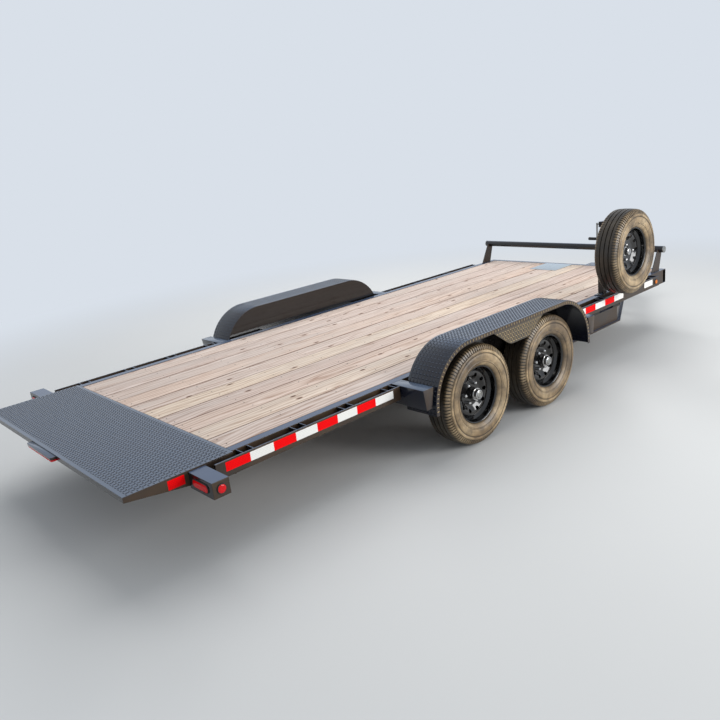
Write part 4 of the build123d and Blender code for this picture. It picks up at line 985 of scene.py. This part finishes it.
lamps = dict(ovalRadius=25 * mm, ovalStretch=100 * mm, roundRadius=27 * mm, markerRadius=24 * mm, rim=6 * mm,
             lensLap=1.5 * mm, lensWall=5 * mm, rimWall=4 * mm,
             rimDomes=[(1.6, 1.4), (1.8, 0.0), (1.6, -1.2)],
             lensDomes=[(1.8, 1.2), (2.6, 1.2), (4.0, 0.9), (5.0, 0.4)])
boxLow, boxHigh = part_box("light_boxes")
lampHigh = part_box("tail_lamps")[1]
boxMiddleX = lampHigh.x - lamps["roundRadius"]
boxMiddleZ = (boxLow.z + boxHigh.z) / 2
ovalY = (tailHigh.y + boxHigh.y) / 2
markerLow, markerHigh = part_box("marker_lamps")
markerX, markerZ = (markerLow.x + markerHigh.x) / 2, (markerLow.z + markerHigh.z) / 2
redPlaces, amberPlaces = [], []
for sign in sides.values():
    ovalPlace = facing((boxLow.x, sign * ovalY, boxMiddleZ), (-1, 0, 0), (0, 1, 0))
    roundPlace = facing((boxMiddleX, sign * boxHigh.y, boxMiddleZ), (0, sign, 0), (0, 0, 1))
    markerPlace = facing((markerX, sign * rubHigh.y, markerZ), (0, sign, 0), (0, 0, 1))
    redPlaces.append((lamps["ovalRadius"], lamps["ovalStretch"], ovalPlace))
    redPlaces.append((lamps["roundRadius"], 0.0, roundPlace))
    amberPlaces.append((lamps["markerRadius"], 0.0, markerPlace))
for name, rows, finish, slotName, replaced in (
        ("tailLenses", redPlaces, redLens, "red_lens", "tail_lamps"),
        ("markerLenses", amberPlaces, amberLens, "amber_lens", "marker_lamps")):
    lenses, rims = [], []
    for radius, stretch, place in rows:
        lens = lampPiece("lens", radius - lamps["rim"] + lamps["lensLap"], stretch, lamps["lensWall"],
                         lamps["lensDomes"])
        lens.matrix_world = place
        rim = lampPiece("grommet", radius, stretch, lamps["rimWall"], lamps["rimDomes"])
        rim.matrix_world = place
        lenses.append(lens)
        rims.append(rim)
    finishPiece(joinPieces(name, lenses), finish, "bed", [replaced])
    finishPiece(joinPieces(name + "Grommets", rims), padRubber, "bed")

# Light bar under the rear edge: a pressed cover with a red lens strip below it
lightBar = dict(lensShare=0.45, lensInset=2 * mm, cornerRadius=14 * mm, edge=2 * mm)
barLow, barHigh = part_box("id_light_bar")
split = barLow.z + (barHigh.z - barLow.z) * lightBar["lensShare"]
for name, low, high, finish, slotName in (
        ("lightBarCover", (barLow.x, barLow.y, split), tuple(barHigh), treadEnamel, "bare_steel"),
        ("lightBarLens", (barLow.x + lightBar["lensInset"], barLow.y + lightBar["lensInset"], barLow.z),
         (barHigh.x, barHigh.y - lightBar["lensInset"], split), redLens, "red_lens")):
    piece = plainBlock(name, low, high)
    enterEdit(piece, "EDGE")
    pick("EDGE", lambda a, b: abs(a.z - b.z) > mm and a.x < low[0] + mm)
    easeEdges(lightBar["cornerRadius"], 6)
    pick("EDGE", lambda a, b: abs(a.z - b.z) < 0.1 * mm and min(a.x, b.x) < high[0] - mm)
    easeEdges(lightBar["edge"])
    leaveEdit()
    finishPiece(piece, finish, "bed", ["id_light_bar"])
print("lamps fitted")


# Fittings that hold the trailer together, as joined meshes that ride on the bed or the tow frame
def at(station, y, z):
    # a place in mm, measured forward from the rear edge of the tail
    return Vector((tailX + station * mm, y * mm, z * mm))


boltHead = dict(washer=2 * mm, washerEdge=0.6 * mm, steps=[(0.16, 0.1), (0.3, -0.04)])


def hexBolt(name, radius, height, washer):
    # a hexagon head with a chamfered top on a flat washer, standing on XY
    foot = boltHead["washer"]
    head = rodPiece(name, 6, radius, foot, foot + height)
    enterEdit(head)
    pickTop()
    for inset, lift in boltHead["steps"]:
        bpy.ops.mesh.inset(thickness=inset * radius, depth=lift * radius)
    leaveEdit()
    ring = rodPiece("washer", 24, washer, 0, foot)
    enterEdit(ring, "EDGE")
    pick("EDGE", lambda a, b: min(a.z, b.z) > 0.95 * foot)
    easeEdges(boltHead["washerEdge"])
    leaveEdit()
    return joinPieces(name, [head, ring])


# Bolts through the hangers and equalizers, and those of the coupler, jack and spare wheel
bolts = dict(big=(15 * mm, 11 * mm, 21 * mm), small=(9 * mm, 7 * mm, 13 * mm), hangers=(2053.5, 3526.5),
             middle=2790, eyeReach=76.5, eyeZ=385, equalizerZ=402, hangerOut=1012, hangerIn=954,
             eyeOut=1005.5, eyeIn=960.5, couplerX=(6490, 6550), couplerY=70, couplerZ=412, jackX=(6195, 6305),
             jackZ=410, jackY=150, nose=6580, noseRun=330, spareX=(4358, 4482), spareY=-981.5, spareZ=564)
bigPlaces, smallPlaces, towPlaces = [], [], []
for sign in sides.values():
    hangers = [(station, bolts["eyeZ"]) for station in bolts["hangers"]]
    hangers.append((bolts["middle"], bolts["equalizerZ"]))
    eyes = [(bolts["middle"] + end * bolts["eyeReach"], bolts["eyeZ"]) for end in (1, -1)]
    for rows, spots, outer, inner in ((bigPlaces, hangers, "hangerOut", "hangerIn"),
                                      (smallPlaces, eyes, "eyeOut", "eyeIn")):
        for station, z in spots:
            rows.append(facing(at(station, sign * bolts[outer], z), (0, sign, 0), (0, 0, 1)))
            rows.append(facing(at(station, sign * bolts[inner], z), (0, -sign, 0), (0, 0, 1)))
    towPlaces += [Matrix.Translation(at(x, sign * bolts["couplerY"], bolts["couplerZ"]))
                  for x in bolts["couplerX"]]
    for x in bolts["jackX"]:
        y = sign * bolts["jackY"] * (bolts["nose"] - x) / bolts["noseRun"]
        towPlaces.append(Matrix.Translation(at(x, y, bolts["jackZ"])))
smallPlaces += [Matrix.Translation(at(x, bolts["spareY"], bolts["spareZ"])) for x in bolts["spareX"]]
bigBolts = scatter("hangerBolts", hexBolt("hangerBolt", *bolts["big"]), bigPlaces)
smallBolts = scatter("eyeBolts", hexBolt("eyeBolt", *bolts["small"]), smallPlaces)
finishPiece(joinPieces("bedBolts", [bigBolts, smallBolts]), zincPlate, "bed")
towBolts = scatter("towBolts", hexBolt("towBolt", *bolts["small"]), towPlaces)
finishPiece(towBolts, zincPlate, "tow_frame")

# Folded boxes of the fender steps: level on top, narrower and open below
stepBox = dict(length=92 * mm, width=272.5 * mm, height=134 * mm, middleY=1146.75, top=558, farLean=20 * mm,
               nearLean=-26 * mm, sheet=5 * mm, edge=1.5 * mm, rear=1856.5, front=3723.5)
halfLength, halfWidth = stepBox["length"] / 2, stepBox["width"] / 2
box = plainBlock("stepBox", (-halfLength, -halfWidth, -stepBox["height"]), (halfLength, halfWidth, 0))
enterEdit(box)
for end, lean in ((-1, stepBox["farLean"]), (1, stepBox["nearLean"])):
    pick("VERT", lambda p: p.x * end > 0 and p.z < -mm)
    bpy.ops.transform.translate(value=(lean, 0, 0))
pick("FACE", lambda middle, normal: normal.z < -0.9)
bpy.ops.mesh.delete(type="FACE")
leaveEdit()
applyModifier(box, "SOLIDIFY", thickness=stepBox["sheet"], offset=-1)
applyModifier(box, "BEVEL", width=stepBox["edge"], segments=2, limit_method="ANGLE")
places = []
for sign in sides.values():
    places.append(Matrix.Translation(at(stepBox["rear"], sign * stepBox["middleY"], stepBox["top"])))
    places.append(Matrix.Translation(at(stepBox["front"], sign * stepBox["middleY"], stepBox["top"]))
                  @ Matrix.Rotation(math.pi, 4, "Z"))
finishPiece(scatter("stepBoxes", box, places), treadEnamel, "bed", ["fender_steps"])

# U-bolts that clamp the axles to their springs, each with a plate below the leaves and two nuts
uBolt = dict(rod=6 * mm, tube=38 * mm, drop=110 * mm, reach=29.5, plate=(54 * mm, 42 * mm, 10 * mm),
             plateTop=-74 * mm, plateEdge=2 * mm, nut=(9.5 * mm, 9 * mm, 12 * mm), axles=(2383.5, 3196.5),
             axleZ=344, springY=983)
leg = uBolt["tube"] + uBolt["rod"]
loop = startPiece("uBolt", "circle", vertices=10, radius=uBolt["rod"], location=(leg, 0, 0))
settle(loop)
enterEdit(loop, "VERT")
extrudeBy((0, 0, -uBolt["drop"]))
bpy.ops.mesh.edge_face_add()
pick("VERT", lambda p: p.z > -mm)
bpy.ops.mesh.spin(steps=16, angle=-math.pi, center=(0, 0, 0), axis=(0, 1, 0))
pick("VERT", lambda p: p.x < 0 and abs(p.z) < 0.1 * mm)
extrudeBy((0, 0, -uBolt["drop"]))
bpy.ops.mesh.edge_face_add()
closeTurned()
nutPlaces = [facing((end * leg, 0, uBolt["plateTop"] - uBolt["plate"][2]), (0, 0, -1), (0, 1, 0))
             for end in (1, -1)]
loop = joinPieces("uBoltSet", [loop, scatter("uBoltNuts", hexBolt("uBoltNut", *uBolt["nut"]), nutPlaces)])
plateHalfX, plateHalfY, plateDepth = uBolt["plate"]
clampPlate = blockPiece("springPlate", (-plateHalfX, -plateHalfY, uBolt["plateTop"] - plateDepth),
                        (plateHalfX, plateHalfY, uBolt["plateTop"]), uBolt["plateEdge"])
seats = [at(station, sign * uBolt["springY"], uBolt["axleZ"]) for station in uBolt["axles"]
         for sign in sides.values()]
loops = scatter("uBolts", loop, [Matrix.Translation(seat + Vector((0, end * uBolt["reach"] * mm, 0)))
                                 for seat in seats for end in (1, -1)])
finishPiece(loops, zincPlate, "bed")
plates = scatter("springPlates", clampPlate, [Matrix.Translation(seat) for seat in seats])
finishPiece(plates, springEnamel, "bed")
print("bolts set")

# Weld beads: rows of overlapping ripples along the joints of plates and rails
weld = dict(ripple=4.2 * mm, pitch=4.6 * mm, thin=0.6, flat=0.7, flatFrom=-0.3,
            uprightX=(5297, 5436), uprightY=(981, 989), uprightZ=558,
            hangers=(2053.5, 2790, 3526.5), hangerHalf=52, hangerY=(1012, 954), hangerZ=406,
            crosses=(4000, 5900), crossHalf=38, crossZ=(262, 330),
            railY=960, bend=4700, slope=0.4777, webHalf=4)
weldRows = {"bed": [], "tow_frame": []}
for sign in sides.values():
    for y in weld["uprightY"]:
        weldRows["bed"].append([at(x, sign * y, weld["uprightZ"]) for x in weld["uprightX"]])
    for station in weld["hangers"]:
        for y in weld["hangerY"]:
            weldRows["bed"].append([at(station + end * weld["hangerHalf"], sign * y, weld["hangerZ"])
                                    for end in (-1, 1)])
    for station in weld["crosses"]:
        for x in (station - weld["crossHalf"], station + weld["crossHalf"]):
            y = sign * (weld["railY"] - max(x - weld["bend"], 0) * weld["slope"] - weld["webHalf"])
            weldRows["tow_frame"].append([at(x, y, z) for z in weld["crossZ"]])
for body, rows in weldRows.items():
    ripple = startPiece("weldRipple", "ico_sphere", subdivisions=2, radius=weld["ripple"])
    ripple.scale = (weld["thin"], 1.0, 1.0)
    settle(ripple)
    enterEdit(ripple)
    pick("FACE", lambda middle, normal: middle.x < weld["flatFrom"] * weld["ripple"])
    bpy.ops.transform.resize(value=(weld["flat"], 1, 1))
    leaveEdit()
    ripples = []
    for start, end in rows:
        run = end - start
        along = run.to_track_quat("X", "Z").to_matrix().to_4x4()
        count = int(run.length / weld["pitch"])
        for i in range(count + 1):
            ripples.append(Matrix.Translation(start + run * i / count) @ along)
    finishPiece(scatter("weldBeads_" + body, ripple, ripples), frameEnamel, body)
print("welds run")

# Caps on the front rail, the jack's collar, cap and grip, and pivot washers
ends = dict(steps=40, pivot=(3800, 1006, 305),
            railCap=[(-6, 30.4), (0.5, 30.4), (2.4, 29), (3.2, 26), (3.2, 20), (2.4, 18.6), (2.4, 0)],
            washer=[(0, 34), (3, 34), (4, 33), (4, 24), (9, 23), (10, 22), (10, 8), (8.6, 7), (8.6, 0)])
railLow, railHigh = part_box("front_rail")
railMiddle = (railLow + railHigh) / 2
pivotX, pivotY, pivotZ = ends["pivot"]
railCap = turnPiece("railCap", ends["railCap"], ends["steps"])
capPlaces = [Matrix.Translation((railMiddle.x, sign * railHigh.y, railMiddle.z)) @ toSide(sign)
             for sign in sides.values()]
finishPiece(scatter("railCaps", railCap, capPlaces), zincPlate, "bed")
pivotWasher = turnPiece("pivotWasher", ends["washer"], ends["steps"])
pivotPlaces = [Matrix.Translation(at(pivotX, sign * pivotY, pivotZ)) @ toSide(sign)
               for sign in sides.values()]
finishPiece(scatter("pivotWashers", pivotWasher, pivotPlaces), zincPlate, "bed")
jack = dict(station=6250, plate=410, top=890, crankZ=695, gripFrom=118, steps=40,
            collar=[(0, 54), (6, 54), (8, 52.4), (12, 43), (14, 40.4), (24, 39.6), (24, 37)],
            cap=[(-26, 39.8), (-22, 40.4), (0, 40.4), (4, 38.6), (6, 34), (6.6, 20), (8, 18), (8, 0)],
            grip=[(0, 11.2), (0, 14), (2, 16), (92, 16.6), (95, 15), (96, 11), (96, 0)])
stand = Matrix.Rotation(math.pi / 2, 4, "X")
for name, profile, y, z, turn, finish, slotName in (
        ("jackCollar", "collar", 0, jack["plate"], stand, frameEnamel, "frame_paint"),
        ("jackCap", "cap", 0, jack["top"], stand, frameEnamel, "frame_paint"),
        ("jackGrip", "grip", jack["gripFrom"], jack["crankZ"], Matrix(), padRubber, "pad_rubber")):
    turned = turnPiece(name, jack[profile], jack["steps"])
    turned.matrix_world = Matrix.Translation(at(jack["station"], y, z)) @ turn
    settle(turned)
    finishPiece(turned, finish, "tow_frame")

# Coupler: a plate and a formed neck run into a domed ball head, with a latch lever on top
coupling = dict(nose=6580, tip=6800, plate=(120 * mm, 85 * mm), plateHeight=12 * mm, plateEdge=3 * mm,
                bottom=400, neckBottom=412, neckTop=470, neckHalf=38, neckRear=110, neckEdge=9 * mm,
                sinkRear=60, sinkAbove=20, sink=26 * mm, latchEdge=4 * mm,
                head=[(412, 31), (412, 43), (415, 45), (448, 45), (464, 42.6), (475, 36), (481, 26),
                      (482, 14), (482, 0)],
                lever=(6640, 6760, 15, 466, 478), handle=(6620, 6652, 19, 472, 500))
nose, tip = coupling["nose"], coupling["tip"]
plateX, plateY = coupling["plate"]
base = at(nose, 0, coupling["bottom"])
couplerPlate = blockPiece("couplerPlate", base - Vector((plateX, plateY, 0)),
                          base + Vector((plateX, plateY, coupling["plateHeight"])), coupling["plateEdge"])
neckLow = at(nose - coupling["neckRear"], -coupling["neckHalf"], coupling["neckBottom"])
neckHigh = at(tip, coupling["neckHalf"], coupling["neckTop"])
neck = blockPiece("couplerNeck", neckLow, neckHigh, coupling["neckEdge"], 4)
enterEdit(neck)
sinkEnd = at(nose - coupling["sinkRear"], 0, coupling["neckBottom"] + coupling["sinkAbove"])
pick("VERT", lambda p: p.x < sinkEnd.x and p.z > sinkEnd.z)
bpy.ops.transform.translate(value=(0, 0, -coupling["sink"]))
leaveEdit()
head = turnPiece("couplerHead", [(z - coupling["bottom"], r) for z, r in coupling["head"]], 48)
head.matrix_world = Matrix.Translation(at(tip, 0, coupling["bottom"])) @ stand
settle(head)
finishPiece(joinPieces("couplerCasting", [couplerPlate, neck, head]), frameEnamel, "tow_frame",
            ["coupler"])
latchParts = []
for name in ("lever", "handle"):
    x0, x1, half, z0, z1 = coupling[name]
    corners = at(x0, -half, z0), at(x1, half, z1)
    latchParts.append(blockPiece("couplerLatch", *corners, coupling["latchEdge"], 3))
finishPiece(joinPieces("couplerLatch", latchParts), zincPlate, "tow_frame")
print("front end dressed")

low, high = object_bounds()
